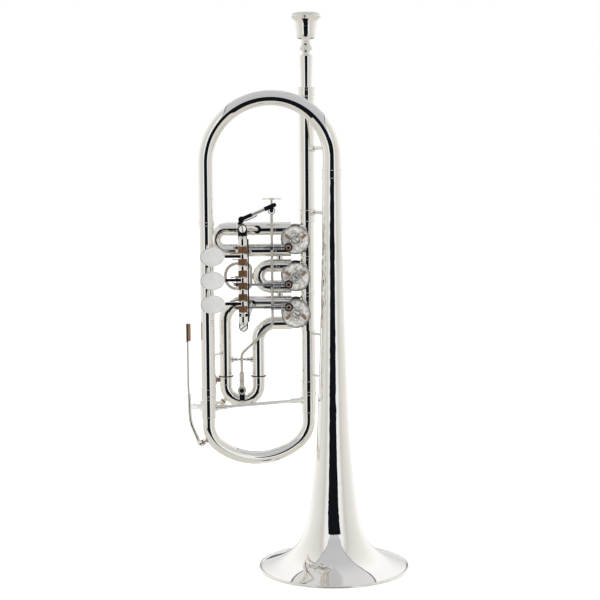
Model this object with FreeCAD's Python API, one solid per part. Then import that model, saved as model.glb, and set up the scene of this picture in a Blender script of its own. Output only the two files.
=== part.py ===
import FreeCAD, Part
import math
import os

# Rotary-valve trumpet in B flat, silver-plated brass, standing on its bell.
# Millimetres. +Z runs up the bell axis towards the mouthpiece, -Y is the side the finger levers
# are on, and the origin is the centre of the bell's mouth on the surface that the bell stands on.

os.makedirs("parts", exist_ok=True)

Vec = FreeCAD.Vector
ALONG_X = Vec(1, 0, 0)
ALONG_Y = Vec(0, 1, 0)
ALONG_Z = Vec(0, 0, 1)

# ---------------------------------------------------------------- driving dimensions
FIT = 0.05                # radial running clearance of slides, rotors and pins
GAP = 0.1                 # gap between flat faces of pieces that meet at a stop
SEAM = 0.7                # open joint between a pushed-in slide and its outer tubes

WORK_Y = 22.0             # plane of the leadpipe, the rotors and the valve loops
BELL_RADIUS = 67.5
BELL_WALL = 0.8
RIM_WIRE = 1.2            # radius of the wire rolled into the bell's edge
RIM_LIFT = 1.15           # height of that wire's centre: its underside is worn to a flat ring
BELL_TOP = 352.0
BELL_TOP_RADIUS = 8.0

BOW_CROWN = 419.0         # centre line of the top bow at its highest point
BOW_CROWN_X = -53.3
BOW_RADIUS_RIGHT = 52.8
BOW_RADIUS_LEFT = 57.0
BOW_CROWN_RADIUS = 6.5    # outside radius of the top bow at its crown
BOW_WALL = 0.6
LEFT_X = -110.8           # axis of the left tube, which holds one leg of the tuning slide
LEFT_RADIUS = 6.4
LEFT_TOP = 309.0

MAIN_X = -21.9            # axis of the leadpipe and of the exit tube
LEADPIPE_RADIUS = 6.8
WINDWAY_RADIUS = 6.3
WINDWAY_BORE = 5.4
RECEIVER_TOP = 429.1
RECEIVER_FOOT = 403.0

VALVE_X = -32.4
VALVE_Z = (294.2, 261.2, 228.2)
VALVE_PITCH = 33.0
VALVE_FACE_Y = 9.6        # front face of the bearing plates
CASING_RADIUS = 12.6
ROTOR_BORE = 11.2
ROTOR_HALF = 9.8
LOOP_OFFSET = 9.5         # from a rotor's axis to each leg of its loop
SPINDLE_RADIUS = 2.5

SLIDE_OUTER = 5.9         # outer tubes of the three valve slides
SLIDE_BORE = 5.25
SLIDE_LEG_WALL = 0.45
SLIDE_BOW_RADIUS = 5.6
FERRULE_RADIUS = 6.3
SLIDE_SPLIT = (-83.6, -52.2)     # where the first and second slides part from their outer tubes
SLIDE_BOW_X = (-95.0, -56.0)     # centre of the first and second slides' bows
THIRD_LEG_X = (-96.4, -66.8)     # the third slide's upright legs
THIRD_BEND = (16.0, 14.5)
THIRD_SPLIT = 171.2
THIRD_BOW_Z = 162.9
THIRD_KEY_ANGLE = 221.0          # degrees round the bow to the third slide's water nipple

TUNING_SPLIT = 155.0      # height at which the main tuning slide parts from its outer tubes
TUNING_BORE = 5.95
TUNING_RIGHT_X = -21.4
TUNING_BOW_RADIUS = 5.75
TUNING_BOTTOM = 97.9
TUNING_RISE = 33.0
TUNING_CORNER = 26.0
MAIN_NIPPLE = 8.6         # from the bow's centre line to the tip of its water nipple
MAIN_KEY_ANGLE = 208.0    # degrees round the bow's corner to that nipple

SHAFT_X = -78.2           # shaft that the three finger levers turn on
SHAFT_Y = -24.0
SHAFT_RADIUS = 1.5
LEVER_Z = (281.9, 261.4, 240.9)
LEVER_STROKE = 25.0       # degrees that a lever turns for the rotor's quarter turn
CRANK = 9.0               # from a rotor's axis to the ball joint on its stop arm
PADDLE_X = -104.0
PADDLE_TILT = 18.0        # degrees that a finger plate is turned to face the hand
SPRING_LENGTH = 6.6
SPRING_RADIUS = 4.05
SPRING_WIRE = 0.45

TRIGGER_Y = 12.8          # plane of the third-slide trigger and its rod
TRIGGER_PIVOT = (-80.6, 312.7)
TRIGGER_EYE = (-53.5, 320.0)
TRIGGER_TILT = 22.9       # slope of the trigger's arm, which passes above its eye
THUMB_Z = 329.9
BUTTON_Z = 158.9          # stud on the third slide that the trigger's rod turns on

MAIN_KEY_PIVOT = Vec(-124.4, 0, 146.2)
THIRD_KEY_PIVOT = Vec(-104.8, WORK_Y, 167.4)

# ---------------------------------------------------------------- worked out from them
LEVER_ARM = CRANK * math.sqrt(2) / (2 * math.sin(math.radians(LEVER_STROKE / 2)))
LEVER_REST = math.radians(LEVER_STROKE / 2)
ROD_Y = SHAFT_Y + LEVER_ARM * math.cos(LEVER_REST)
PIN_X = SHAFT_X - LEVER_ARM * math.sin(LEVER_REST)
CRANK_REACH = CRANK / math.sqrt(2)
BALL_X = VALVE_X - CRANK_REACH
BALL_SIDE = (-1, -1, 1)   # ball joint below the rotor's axis on valves one and two, above on three
SLIDE_LEG = SLIDE_BORE - FIT
TUNING_LEG = TUNING_BORE - FIT
THIRD_CENTRE_X = (THIRD_LEG_X[0] + THIRD_LEG_X[1]) / 2
THIRD_BOW_RADIUS = (THIRD_LEG_X[1] - THIRD_LEG_X[0]) / 2
THIRD_NIPPLE_TIP = THIRD_BOW_RADIUS + SLIDE_BOW_RADIUS + 1.8
NIPPLE_ANGLE = math.radians(THIRD_KEY_ANGLE)
MAIN_NIPPLE_ANGLE = math.radians(MAIN_KEY_ANGLE)


# ---------------------------------------------------------------- shape helpers
def rod(start, end, radius):
    """Solid cylinder between two points."""
    run = end.sub(start)
    return Part.makeCylinder(radius, run.Length, start, run)


def tube(start, end, outer, inner):
    """Hollow cylinder between two points."""
    return rod(start, end, outer).cut(rod(start, end, inner))


def block(low, high):
    """Box between two opposite corners."""
    size = high.sub(low)
    return Part.makeBox(size.x, size.y, size.z, low)


def fuse_all(shapes):
    """One solid out of pieces that overlap."""
    whole = shapes[0].fuse(list(shapes[1:]))
    return whole.removeSplitter()


def bent_path(points, radii):
    """Wire of straight runs through the points, each inner corner rounded to its own radius."""
    edges = []
    here = points[0]
    for corner, before, after, radius in zip(points[1:-1], points, points[2:], radii):
        into = corner.sub(before).normalize()
        away = after.sub(corner).normalize()
        turn = into.getAngle(away)
        reach = radius * math.tan(turn / 2)
        depth = radius / math.cos(turn / 2) - radius
        begin = corner.sub(Vec(into).multiply(reach))
        finish = corner.add(Vec(away).multiply(reach))
        middle = corner.add(away.sub(into).normalize().multiply(depth))
        if begin.sub(here).Length > 1e-4:
            edges.append(Part.LineSegment(here, begin).toShape())
        edges.append(Part.Arc(begin, middle, finish).toShape())
        here = finish
    if points[-1].sub(here).Length > 1e-4:
        edges.append(Part.LineSegment(here, points[-1]).toShape())
    return Part.Wire(edges)


def swept(points, radii, outer, inner=0.0):
    """Round bar along a bent path, or a tube where an inner radius is given."""
    path = bent_path(points, radii)
    solids = []
    for radius in (outer, inner):
        if radius > 0:
            circle = Part.makeCircle(radius, points[0], points[1].sub(points[0]))
            solids.append(path.makePipe(Part.Face(Part.Wire([circle]))))
    return solids[0] if len(solids) == 1 else solids[0].cut(solids[1])


def tapered(path, first, last):
    """Round bar along a path whose radius changes evenly from first to last."""
    start = path.OrderedVertexes[0].Point
    end = path.OrderedVertexes[-1].Point
    edges = path.OrderedEdges
    away = edges[0].tangentAt(edges[0].FirstParameter)
    home = edges[-1].tangentAt(edges[-1].FirstParameter)
    shell = Part.BRepOffsetAPI.MakePipeShell(path)
    shell.add(Part.Wire([Part.makeCircle(first, start, away)]))
    shell.add(Part.Wire([Part.makeCircle(last, end, home)]))
    shell.build()
    shell.makeSolid()
    return shell.shape()


def turned(outline, centre, axis=ALONG_Z):
    """Solid of revolution about an upright axis from (radius, height) corners."""
    corners = [Vec(radius, 0, height) for radius, height in outline]
    face = Part.Face(Part.makePolygon(corners + corners[:1]))
    solid = face.revolve(Vec(0, 0, 0), ALONG_Z, 360)
    if axis != ALONG_Z:
        solid.Placement = FreeCAD.Placement(Vec(0, 0, 0), FreeCAD.Rotation(ALONG_Z, axis))
    solid.translate(centre)
    return solid


def turned_bar(start, end, stations):
    """Bar turned about the line between two points, from (distance, radius) corners."""
    outline = [(radius, distance) for distance, radius in stations]
    outline = [(0, stations[0][0])] + outline + [(0, stations[-1][0])]
    return turned(outline, start, end.sub(start))


def footed_bar(start, end, reaches, radius, step):
    """Brace between two tube axes, with a foot and a thicker shank next to each tube."""
    low = reaches[0] - 1
    high = end.sub(start).Length - reaches[1] + 1
    first = [(0, 2.3), (2.2, 2.3), (2.8, 1.5), (step, 1.5), (step + 0.9, 1)]
    stations = [(low + away, radius * scale) for away, scale in first]
    stations += [(high - away, radius * scale) for away, scale in reversed(first)]
    return turned_bar(start, end, stations)


def collar(centre, axis, outer, inner, length, lip=0.45):
    """Ferrule centred on a point, with a raised lip at each end."""
    half = length / 2
    outline = [(inner, -half), (outer + lip, -half), (outer + lip, 0.9 - half), (outer, 1.2 - half),
               (outer, half - 1.2), (outer + lip, half - 0.9), (outer + lip, half), (inner, half)]
    return turned(outline, centre, axis)


def export(node, shapes):
    """Write one node from a list of separate solids."""
    solids = [solid for shape in shapes for solid in shape.Solids]
    whole = solids[0] if len(solids) == 1 else Part.makeCompound(solids)
    whole.exportStep("parts/" + node + ".step")


# ---------------------------------------------------------------- bell and top bow
def bell_outline(offset):
    """Corners and curve of the bell's outside, moved outwards by an offset along the radius."""
    points = [(66.2, 1.15), (54.0, 6.0), (43.0, 11.5), (33.0, 20.5), (25.6, 34.0), (20.9, 56.0),
              (18.0, 80.0), (15.4, 108.0), (13.3, 150.0), (11.4, 205.0), (9.6, 275.0),
              (BELL_TOP_RADIUS, BELL_TOP)]
    curve = Part.BSplineCurve()
    curve.interpolate([Vec(radius + offset, 0, height) for radius, height in points])
    return curve.toShape()


def rim_torus():
    return Part.makeTorus(BELL_RADIUS - RIM_WIRE, RIM_WIRE, Vec(0, 0, RIM_LIFT), ALONG_Z)


def make_bell():
    outside = bell_outline(0)
    inside = bell_outline(-BELL_WALL)
    foot = Part.LineSegment(inside.Vertexes[0].Point, outside.Vertexes[0].Point).toShape()
    top = Part.LineSegment(inside.Vertexes[-1].Point, outside.Vertexes[-1].Point).toShape()
    face = Part.Face(Part.Wire(Part.__sortEdges__([outside, top, inside, foot])))
    whole = face.revolve(Vec(0, 0, 0), ALONG_Z, 360).cut(rim_torus())
    return max(whole.Solids, key=lambda solid: solid.Volume)


def make_rim_wire():
    worn = block(Vec(-80, -80, -5), Vec(80, 80, 0))
    return rim_torus().cut(worn)


def filled_bow(inset):
    """The top bow as a solid bar, its radius smaller by an inset: quick taper, then a slight one."""
    crown = Vec(BOW_CROWN_X, 0, BOW_CROWN)
    right = bent_path([Vec(0, 0, BELL_TOP), Vec(0, 0, BOW_CROWN), crown], [BOW_RADIUS_RIGHT])
    left = bent_path([crown, Vec(LEFT_X, 0, BOW_CROWN), Vec(LEFT_X, 0, LEFT_TOP)], [BOW_RADIUS_LEFT])
    first = tapered(right, BELL_TOP_RADIUS - inset, BOW_CROWN_RADIUS - inset)
    return first.fuse(tapered(left, BOW_CROWN_RADIUS - inset, LEFT_RADIUS - inset))


def make_top_bow():
    return filled_bow(0).cut(filled_bow(BOW_WALL))


def make_left_tube():
    return tube(Vec(LEFT_X, 0, TUNING_SPLIT), Vec(LEFT_X, 0, LEFT_TOP), LEFT_RADIUS, TUNING_BORE)


def make_joint_ferrules():
    """Soldered rings over the joints of the fixed tubes."""
    bell_joint = collar(Vec(0, 0, BELL_TOP), ALONG_Z, BELL_TOP_RADIUS + 0.45, BELL_TOP_RADIUS + 0.15, 9, 0.2)
    left_joint = collar(Vec(LEFT_X, 0, LEFT_TOP), ALONG_Z, LEFT_RADIUS + 0.35, LEFT_RADIUS + 0.06, 5, 0.25)
    pipe_joint = collar(Vec(MAIN_X, WORK_Y, VALVE_Z[0] + 21), ALONG_Z,
                        LEADPIPE_RADIUS + 0.35, LEADPIPE_RADIUS, 11.8, 0.25)
    left_end = collar(Vec(LEFT_X, 0, TUNING_SPLIT + 4.2), ALONG_Z, LEFT_RADIUS + 0.3, LEFT_RADIUS, 8, 0.25)
    right_end = collar(Vec(TUNING_RIGHT_X, WORK_Y, TUNING_SPLIT + 6), ALONG_Z,
                       WINDWAY_RADIUS + 0.5, WINDWAY_RADIUS + 0.2, 11.6, 0.25)
    return [bell_joint, left_joint, pipe_joint, left_end, right_end]


# ---------------------------------------------------------------- leadpipe and receiver
def make_receiver():
    foot = RECEIVER_FOOT - RECEIVER_TOP
    outline = [(4.55, foot), (6.8, foot), (6.8, -10.2), (7.2, -10.0), (7.2, -8.6), (6.5, -8.3), (6.5, -7.4),
               (7.45, -7.2), (7.45, -3.6), (6.9, -3.2), (6.9, -2.4), (7.45, -2.0), (7.45, -0.3), (7.15, 0),
               (5.0, 0)]
    return turned(outline, Vec(MAIN_X, WORK_Y, RECEIVER_TOP))


def make_leadpipe():
    top = Vec(MAIN_X, WORK_Y, RECEIVER_FOOT)
    foot = Vec(MAIN_X, WORK_Y, VALVE_Z[0] + VALVE_PITCH / 2)
    return tube(foot, top, LEADPIPE_RADIUS, WINDWAY_BORE)


def make_mouthpiece():
    """Rim, cup, turned stem and tapered shank, bored from the cup to the tip."""
    outline = [(8.2, 492.6), (9.2, 493.9), (10.6, 494.2), (12.2, 493.5), (13.3, 491.9), (13.4, 490.9),
               (12.2, 489.6), (10.8, 488.3), (10.0, 486.8), (9.5, 484.6), (9.35, 482.8), (9.1, 482.7),
               (9.1, 482.3), (9.3, 482.1), (8.8, 478.4), (8.5, 474.6), (8.1, 472.9), (7.0, 472.0),
               (4.6, 471.5), (3.8, 470.2), (4.1, 468.4), (4.4, 467.2), (3.9, 466.0), (4.6, 465.2),
               (5.8, 464.0), (5.9, 463.4), (5.4, 462.6), (4.2, 461.4), (3.7, 459.6), (4.1, 457.6),
               (5.85, 457.0), (5.95, 456.4), (4.95, 429.1), (4.5, 405.0), (3.9, 405.0), (1.85, 462.0),
               (1.85, 474.0), (4.4, 477.2), (6.9, 481.4), (7.8, 486.0), (8.1, 490.0)]
    return turned(outline, Vec(MAIN_X, WORK_Y, 0))


# ---------------------------------------------------------------- rotary valves
def loop_stub_length(valve):
    """From a rotor's axis to where its loop's tubes are soldered on: short on the second valve."""
    return 13.6 if valve == 1 else 16.5


def make_casing(valve):
    """Rotor casing with its four knuckles: main line on the right, valve loop on the left."""
    centre = Vec(VALVE_X, WORK_Y, VALVE_Z[valve])
    front = Vec(VALVE_X, VALVE_FACE_Y + 1, VALVE_Z[valve])
    back = Vec(VALVE_X, 2 * WORK_Y - VALVE_FACE_Y - 1, VALVE_Z[valve])
    main_foot = Vec(MAIN_X, WORK_Y, centre.z - VALVE_PITCH / 2)
    main_top = Vec(MAIN_X, WORK_Y, centre.z + VALVE_PITCH / 2)
    outside = [rod(front, back, CASING_RADIUS), rod(main_foot, main_top, WINDWAY_RADIUS)]
    holes = [rod(front, back, ROTOR_BORE)]
    for side in (-1, 1):
        inner = centre.add(Vec(-4, 0, side * LOOP_OFFSET))
        outer = centre.add(Vec(-loop_stub_length(valve), 0, side * LOOP_OFFSET))
        outside.append(rod(inner, outer, SLIDE_OUTER))
        holes.append(rod(inner, outer, SLIDE_BORE))
        port = Vec(MAIN_X, WORK_Y, centre.z + side * 4.5)
        holes.append(rod(port, Vec(MAIN_X, WORK_Y, centre.z + side * VALVE_PITCH / 2), WINDWAY_BORE))
    solid = fuse_all(outside)
    for hole in holes:
        solid = solid.cut(hole)
    return max(solid.Solids, key=lambda piece: piece.Volume)


def make_rotor(valve):
    """Cylinder with two quarter-bend passages, and a spindle at each end."""
    centre = Vec(VALVE_X, WORK_Y, VALVE_Z[valve])
    radius = ROTOR_BORE - FIT
    core = rod(centre.sub(Vec(0, ROTOR_HALF, 0)), centre.add(Vec(0, ROTOR_HALF, 0)), radius)
    for side in (-1, 1):
        bend = Part.makeTorus(radius, 4.0, centre.add(Vec(side * radius * math.sqrt(2), 0, 0)), ALONG_Y)
        core = core.cut(bend)
    front = rod(Vec(VALVE_X, VALVE_FACE_Y - 2.6, centre.z), centre, SPINDLE_RADIUS)
    back = rod(centre.add(Vec(0, 8, 0)), centre.add(Vec(0, 12.4, 0)), SPINDLE_RADIUS)
    web = rod(centre.sub(Vec(0, ROTOR_HALF, 0)), centre.add(Vec(0, ROTOR_HALF, 0)), 0.5)
    return fuse_all([core, web, front.cut(rod(centre.sub(Vec(0, 9, 0)), centre, 3)), back])


def make_bearing_plate(valve):
    """Front bearing plate: a disc on the casing's edge with a step that centres it in the bore."""
    z = VALVE_Z[valve]
    face = rod(Vec(VALVE_X, VALVE_FACE_Y, z), Vec(VALVE_X, VALVE_FACE_Y + 1, z), CASING_RADIUS + 0.25)
    step = rod(Vec(VALVE_X, VALVE_FACE_Y + 1, z), Vec(VALVE_X, WORK_Y - ROTOR_HALF - GAP, z), ROTOR_BORE)
    hole = rod(Vec(VALVE_X, 0, z), Vec(VALVE_X, WORK_Y, z), SPINDLE_RADIUS + FIT)
    return fuse_all([face, step]).cut(hole)


def make_back_cap(valve):
    """Screw cap over the rear of the casing, with the rear bearing turned inside it."""
    z = VALVE_Z[valve]
    edge = 2 * WORK_Y - VALVE_FACE_Y - 1
    seat = WORK_Y + ROTOR_HALF + GAP - edge
    outline = [(SPINDLE_RADIUS + FIT, seat), (ROTOR_BORE, seat), (ROTOR_BORE, 0), (CASING_RADIUS, 0),
               (CASING_RADIUS, -4.5), (CASING_RADIUS + 0.9, -4.5), (CASING_RADIUS + 0.9, 1.4),
               (CASING_RADIUS - 1.2, 2.6), (6.0, 3.3), (0, 3.5), (0, 1.4), (SPINDLE_RADIUS + FIT, 1.4)]
    return turned(outline, Vec(VALVE_X, edge, z), ALONG_Y)


def make_stop_arm(valve):
    """Arm on the spindle that carries the ball joint's stud, with the stop lug opposite it."""
    z = VALVE_Z[valve]
    side = BALL_SIDE[valve]
    front = VALVE_FACE_Y - 2.6
    back = VALVE_FACE_Y - 0.4
    stud = Vec(BALL_X, 0, z + side * CRANK_REACH)
    hub = rod(Vec(VALVE_X, front - 0.8, z), Vec(VALVE_X, back, z), 4.1)
    eye = rod(Vec(stud.x, front, stud.z), Vec(stud.x, back, stud.z), 2.9)
    arm = block(Vec(0, front, -2.2), Vec(CRANK, back, 2.2))
    lug = block(Vec(-8.4, front, -1.7), Vec(0, back, 1.7))
    for piece in (arm, lug):
        piece.rotate(Vec(0, 0, 0), ALONG_Y, 180 + side * 45)
        piece.translate(Vec(VALVE_X, 0, z))
    pin = rod(Vec(stud.x, ROD_Y - 2.0, stud.z), Vec(stud.x, front + 0.5, stud.z), 1.6)
    rivet = rod(Vec(stud.x, ROD_Y - 2.6, stud.z), Vec(stud.x, ROD_Y - 1.95, stud.z), 2.1)
    whole = fuse_all([hub, eye, arm, lug, pin, rivet])
    return whole.cut(rod(Vec(VALVE_X, front, z), Vec(VALVE_X, back + 1, z), SPINDLE_RADIUS))


def make_stop_screw(valve):
    """Slotted screw in the end of the spindle that holds the stop arm."""
    z = VALVE_Z[valve]
    hub_face = VALVE_FACE_Y - 3.4
    head = rod(Vec(VALVE_X, hub_face - 1.1, z), Vec(VALVE_X, hub_face, z), 3.0)
    slot = block(Vec(VALVE_X - 4, hub_face - 2, z - 0.35), Vec(VALVE_X + 4, hub_face - 0.5, z + 0.35))
    slot.rotate(Vec(VALVE_X, 0, z), ALONG_Y, 35)
    return head.cut(slot)


def make_stop_corks(valve):
    """Two cork blocks on the bearing plate that the stop lug meets at each end of its turn."""
    z = VALVE_Z[valve]
    side = BALL_SIDE[valve]
    corks = []
    for hand in (-1, 1):
        cork = block(Vec(4.9, VALVE_FACE_Y - 2.3, -4.1), Vec(9.6, VALVE_FACE_Y, -1.7 - GAP))
        if hand * side > 0:
            cork = cork.mirror(Vec(0, 0, 0), ALONG_Z)
        cork.rotate(Vec(0, 0, 0), ALONG_Y, 90 * (1 - hand) + hand * side * 45)
        cork.translate(Vec(VALVE_X, 0, z))
        corks.append(cork)
    return corks


def make_link_rod(valve):
    """Rod from a lever's pin to the ball joint: slotted eye, thin rod, threaded sleeve, round eye."""
    z = VALVE_Z[valve] + BALL_SIDE[valve] * CRANK_REACH
    socket = tube(Vec(BALL_X, ROD_Y - 1.9, z), Vec(BALL_X, ROD_Y + 1.9, z), 3.65, 1.6 + FIT)
    sleeve = rod(Vec(BALL_X - 14, ROD_Y, z), Vec(BALL_X - 3.3, ROD_Y, z), 2.2)
    stem = rod(Vec(PIN_X + 2.6, ROD_Y, z), Vec(BALL_X - 12, ROD_Y, z), 1.1)
    eye = block(Vec(PIN_X - 1.2, ROD_Y - 2.6, z - 1), Vec(PIN_X + 3.2, ROD_Y + 3.6, z + 1))
    nose = rod(Vec(PIN_X - 0.2, ROD_Y + 0.5, z - 1), Vec(PIN_X - 0.2, ROD_Y + 0.5, z + 1), 3.1)
    slot = block(Vec(PIN_X - 1.45, ROD_Y - 1.3, z - 2), Vec(PIN_X + 1.45, ROD_Y + 2.2, z + 2))
    return fuse_all([socket, sleeve, stem, fuse_all([eye, nose]).cut(slot)])


# ---------------------------------------------------------------- finger levers
def make_lever(valve):
    """Hub on the shaft, front arm to the finger plate, rear arm to the pin of the link rod."""
    z = LEVER_Z[valve]
    hub = rod(Vec(SHAFT_X, SHAFT_Y, z - 1.8), Vec(SHAFT_X, SHAFT_Y, z + 1.8), 4.0)
    front = block(Vec(PADDLE_X - 2.4, SHAFT_Y - 3.8, z - 1.2), Vec(SHAFT_X, SHAFT_Y - 2.2, z + 1.2))
    boss = rod(Vec(PADDLE_X, SHAFT_Y - 2.2, z), Vec(PADDLE_X, SHAFT_Y - 9, z), 2.4)
    reach = Vec(PIN_X - SHAFT_X, ROD_Y - SHAFT_Y, 0)
    rear = block(Vec(2.5, -1.9, -1.1), Vec(reach.Length, 1.9, 1.1))
    tip = rod(Vec(reach.Length, 0, -1.1), Vec(reach.Length, 0, 1.1), 1.9)
    for piece in (rear, tip):
        piece.rotate(Vec(0, 0, 0), ALONG_Z, math.degrees(math.atan2(reach.y, reach.x)))
        piece.translate(Vec(SHAFT_X, SHAFT_Y, z))
    bore = rod(Vec(SHAFT_X, SHAFT_Y, z - 3), Vec(SHAFT_X, SHAFT_Y, z + 3), SHAFT_RADIUS + FIT)
    solid = fuse_all([hub, front, boss, rear, tip]).cut(bore).cut(make_finger_plate(valve))
    return max(solid.Solids, key=lambda piece: piece.Volume)


def make_lever_pin(valve):
    """Upright pin in the end of a lever, headed so that the rod's eye can't slide off it.

    Halfway through its turn the crank carries the rod sideways, so the pin is longer where that
    is away from the lever.
    """
    rod_z = VALVE_Z[valve] + BALL_SIDE[valve] * CRANK_REACH
    way = 1 if rod_z > LEVER_Z[valve] else -1
    sweep = CRANK - CRANK_REACH if way == BALL_SIDE[valve] else 0
    far = (rod_z - LEVER_Z[valve]) * way + 1.4 + sweep
    start = Vec(PIN_X, ROD_Y, LEVER_Z[valve] + way * 1.1)
    end = Vec(PIN_X, ROD_Y, LEVER_Z[valve] + way * far)
    return fuse_all([rod(start, end, 1.0), rod(end, end.add(Vec(0, 0, way * 0.8)), 1.9)])


def make_finger_plate(valve):
    """Oval touch plate, slightly domed towards the finger."""
    lens = Part.makeSphere(90, Vec(0, 88.6, 0))
    rim = rod(Vec(0, -3, 0), Vec(0, -0.05, 0), 10.7)
    plate = lens.common(rim)
    squeeze = FreeCAD.Matrix()
    squeeze.scale(1.0, 1.0, 0.74)
    plate = plate.transformGeometry(squeeze)
    plate.rotate(Vec(0, 0, 0), ALONG_Z, PADDLE_TILT)
    plate.translate(Vec(PADDLE_X, SHAFT_Y - 7.8, LEVER_Z[valve]))
    return plate


def make_lever_shaft():
    return rod(Vec(SHAFT_X, SHAFT_Y, 223.0), Vec(SHAFT_X, SHAFT_Y, 298.0), SHAFT_RADIUS)


def make_lever_carrier():
    """Rail behind the springs, a lug over each end of the shaft, an ear for each screw, two posts."""
    shapes = [block(Vec(SHAFT_X + 4.0, SHAFT_Y + 4.6, 224.6), Vec(SHAFT_X + 5.2, SHAFT_Y + 7.6, 296.6))]
    for low, high in ((224.6, 229.6), (291.6, 296.6)):
        lug = rod(Vec(SHAFT_X, SHAFT_Y, low), Vec(SHAFT_X, SHAFT_Y, high), 4.1)
        web = block(Vec(SHAFT_X - 2, SHAFT_Y, low), Vec(SHAFT_X + 5.2, SHAFT_Y + 7.6, high))
        shapes += [lug, web]
    ear_y = SHAFT_Y + 4.2
    for z, way, foot in ((305.3, 1, Vec(-66.5, WORK_Y - 5.2, 303.4)),
                         (219.6, -1, Vec(-71.5, WORK_Y - 5.2, 236.4))):
        ear = rod(Vec(SHAFT_X, ear_y, z), Vec(SHAFT_X, ear_y + 1.8, z), 3.9)
        neck = block(Vec(SHAFT_X - 3.9, ear_y, min(z, z - way * 12)), Vec(SHAFT_X + 3.9, ear_y + 1.8,
                     max(z, z - way * 12)))
        post = swept([Vec(SHAFT_X, ear_y + 1, z), Vec(SHAFT_X + 1, 4, z), foot], [7], 1.7)
        flange = rod(foot, foot.add(Vec(0, -1.6, 0)), 3.6)
        shapes += [ear, neck, post, flange]
    solid = fuse_all(shapes)
    for valve in (0, 2):
        height = leg_z(valve, 1)
        solid = solid.cut(rod(Vec(-90, WORK_Y, height), Vec(-50, WORK_Y, height), SLIDE_OUTER))
    bore = rod(Vec(SHAFT_X, SHAFT_Y, 220), Vec(SHAFT_X, SHAFT_Y, 300), SHAFT_RADIUS)
    solid = solid.cut(bore)
    return max(solid.Solids, key=lambda piece: piece.Volume)


def make_shaft_nuts():
    """Round nuts on the threaded ends of the lever shaft."""
    nuts = []
    for low, high in ((296.6, 299.0), (222.4, 224.6)):
        nuts.append(tube(Vec(SHAFT_X, SHAFT_Y, low), Vec(SHAFT_X, SHAFT_Y, high), 3.0, SHAFT_RADIUS))
    return nuts


def make_carrier_screws():
    """Slotted screws through the carrier's two ears."""
    screws = []
    for z, turn in ((305.3, 80), (219.6, -35)):
        face = SHAFT_Y + 4.2
        head = rod(Vec(SHAFT_X, face - 1.2, z), Vec(SHAFT_X, face, z), 3.0)
        slot = block(Vec(SHAFT_X - 4, face - 2, z - 0.4), Vec(SHAFT_X + 4, face - 0.6, z + 0.4))
        slot.rotate(Vec(SHAFT_X, 0, z), ALONG_Y, turn)
        screws.append(head.cut(slot))
    return screws


def spring_heights():
    """Middle of each torsion spring: one above and one below every lever's hub."""
    step = 1.8 + 0.15 + SPRING_LENGTH / 2
    return [z + way * step for z in LEVER_Z for way in (1, -1)]


def make_lever_springs():
    """Close-wound torsion springs round the lever shaft."""
    springs = []
    for z in spring_heights():
        length = SPRING_LENGTH - 2 * SPRING_WIRE
        radius = SPRING_RADIUS - SPRING_WIRE
        helix = Part.Wire(Part.makeHelix(2 * SPRING_WIRE + 0.06, length, radius).Edges)
        section = Part.Wire([Part.makeCircle(SPRING_WIRE, Vec(radius, 0, 0), ALONG_Y)])
        coil = helix.makePipeShell([section], True, True)
        coil.translate(Vec(SHAFT_X, SHAFT_Y, z - length / 2))
        springs.append(coil)
    return springs


def make_spacers():
    """Sleeves on the shaft that keep neighbouring levers' springs apart."""
    heights = spring_heights()
    sleeves = []
    for upper, lower in ((heights[1], heights[2]), (heights[3], heights[4])):
        top = upper - SPRING_LENGTH / 2 - 0.1
        foot = lower + SPRING_LENGTH / 2 + 0.1
        sleeves.append(tube(Vec(SHAFT_X, SHAFT_Y, foot), Vec(SHAFT_X, SHAFT_Y, top), 4.0, SHAFT_RADIUS))
    return sleeves


# ---------------------------------------------------------------- valve slides
def leg_z(valve, side):
    return VALVE_Z[valve] + side * LOOP_OFFSET


def make_side_outer_tubes(valve):
    """The two straight outer tubes of the first or second valve's slide."""
    start_x = VALVE_X - loop_stub_length(valve)
    tubes = []
    for side in (1, -1):
        z = leg_z(valve, side)
        split = Vec(SLIDE_SPLIT[valve], WORK_Y, z)
        tubes.append(tube(split, Vec(start_x, WORK_Y, z), SLIDE_OUTER, SLIDE_BORE))
    return tubes


def make_side_slide(valve, leg_end):
    """Bow of the first or second slide with its two inner legs and the ferrules that join them."""
    top, foot = leg_z(valve, 1), leg_z(valve, -1)
    bow_x = SLIDE_BOW_X[valve]
    split = SLIDE_SPLIT[valve] - GAP
    far = bow_x - LOOP_OFFSET
    bow = swept([Vec(split, WORK_Y, top), Vec(far, WORK_Y, top), Vec(far, WORK_Y, foot),
                 Vec(split, WORK_Y, foot)], [LOOP_OFFSET, LOOP_OFFSET], SLIDE_BOW_RADIUS,
                SLIDE_LEG - SLIDE_LEG_WALL)
    shapes = [bow]
    for z in (top, foot):
        leg = tube(Vec(split, WORK_Y, z), Vec(leg_end, WORK_Y, z), SLIDE_LEG, SLIDE_LEG - SLIDE_LEG_WALL)
        shapes.append(leg)
        middle = Vec((split + bow_x) / 2, WORK_Y, z)
        shapes.append(collar(middle, ALONG_X, FERRULE_RADIUS - 0.35, SLIDE_LEG, split - bow_x, 0.3))
    return fuse_all(shapes)


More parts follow.
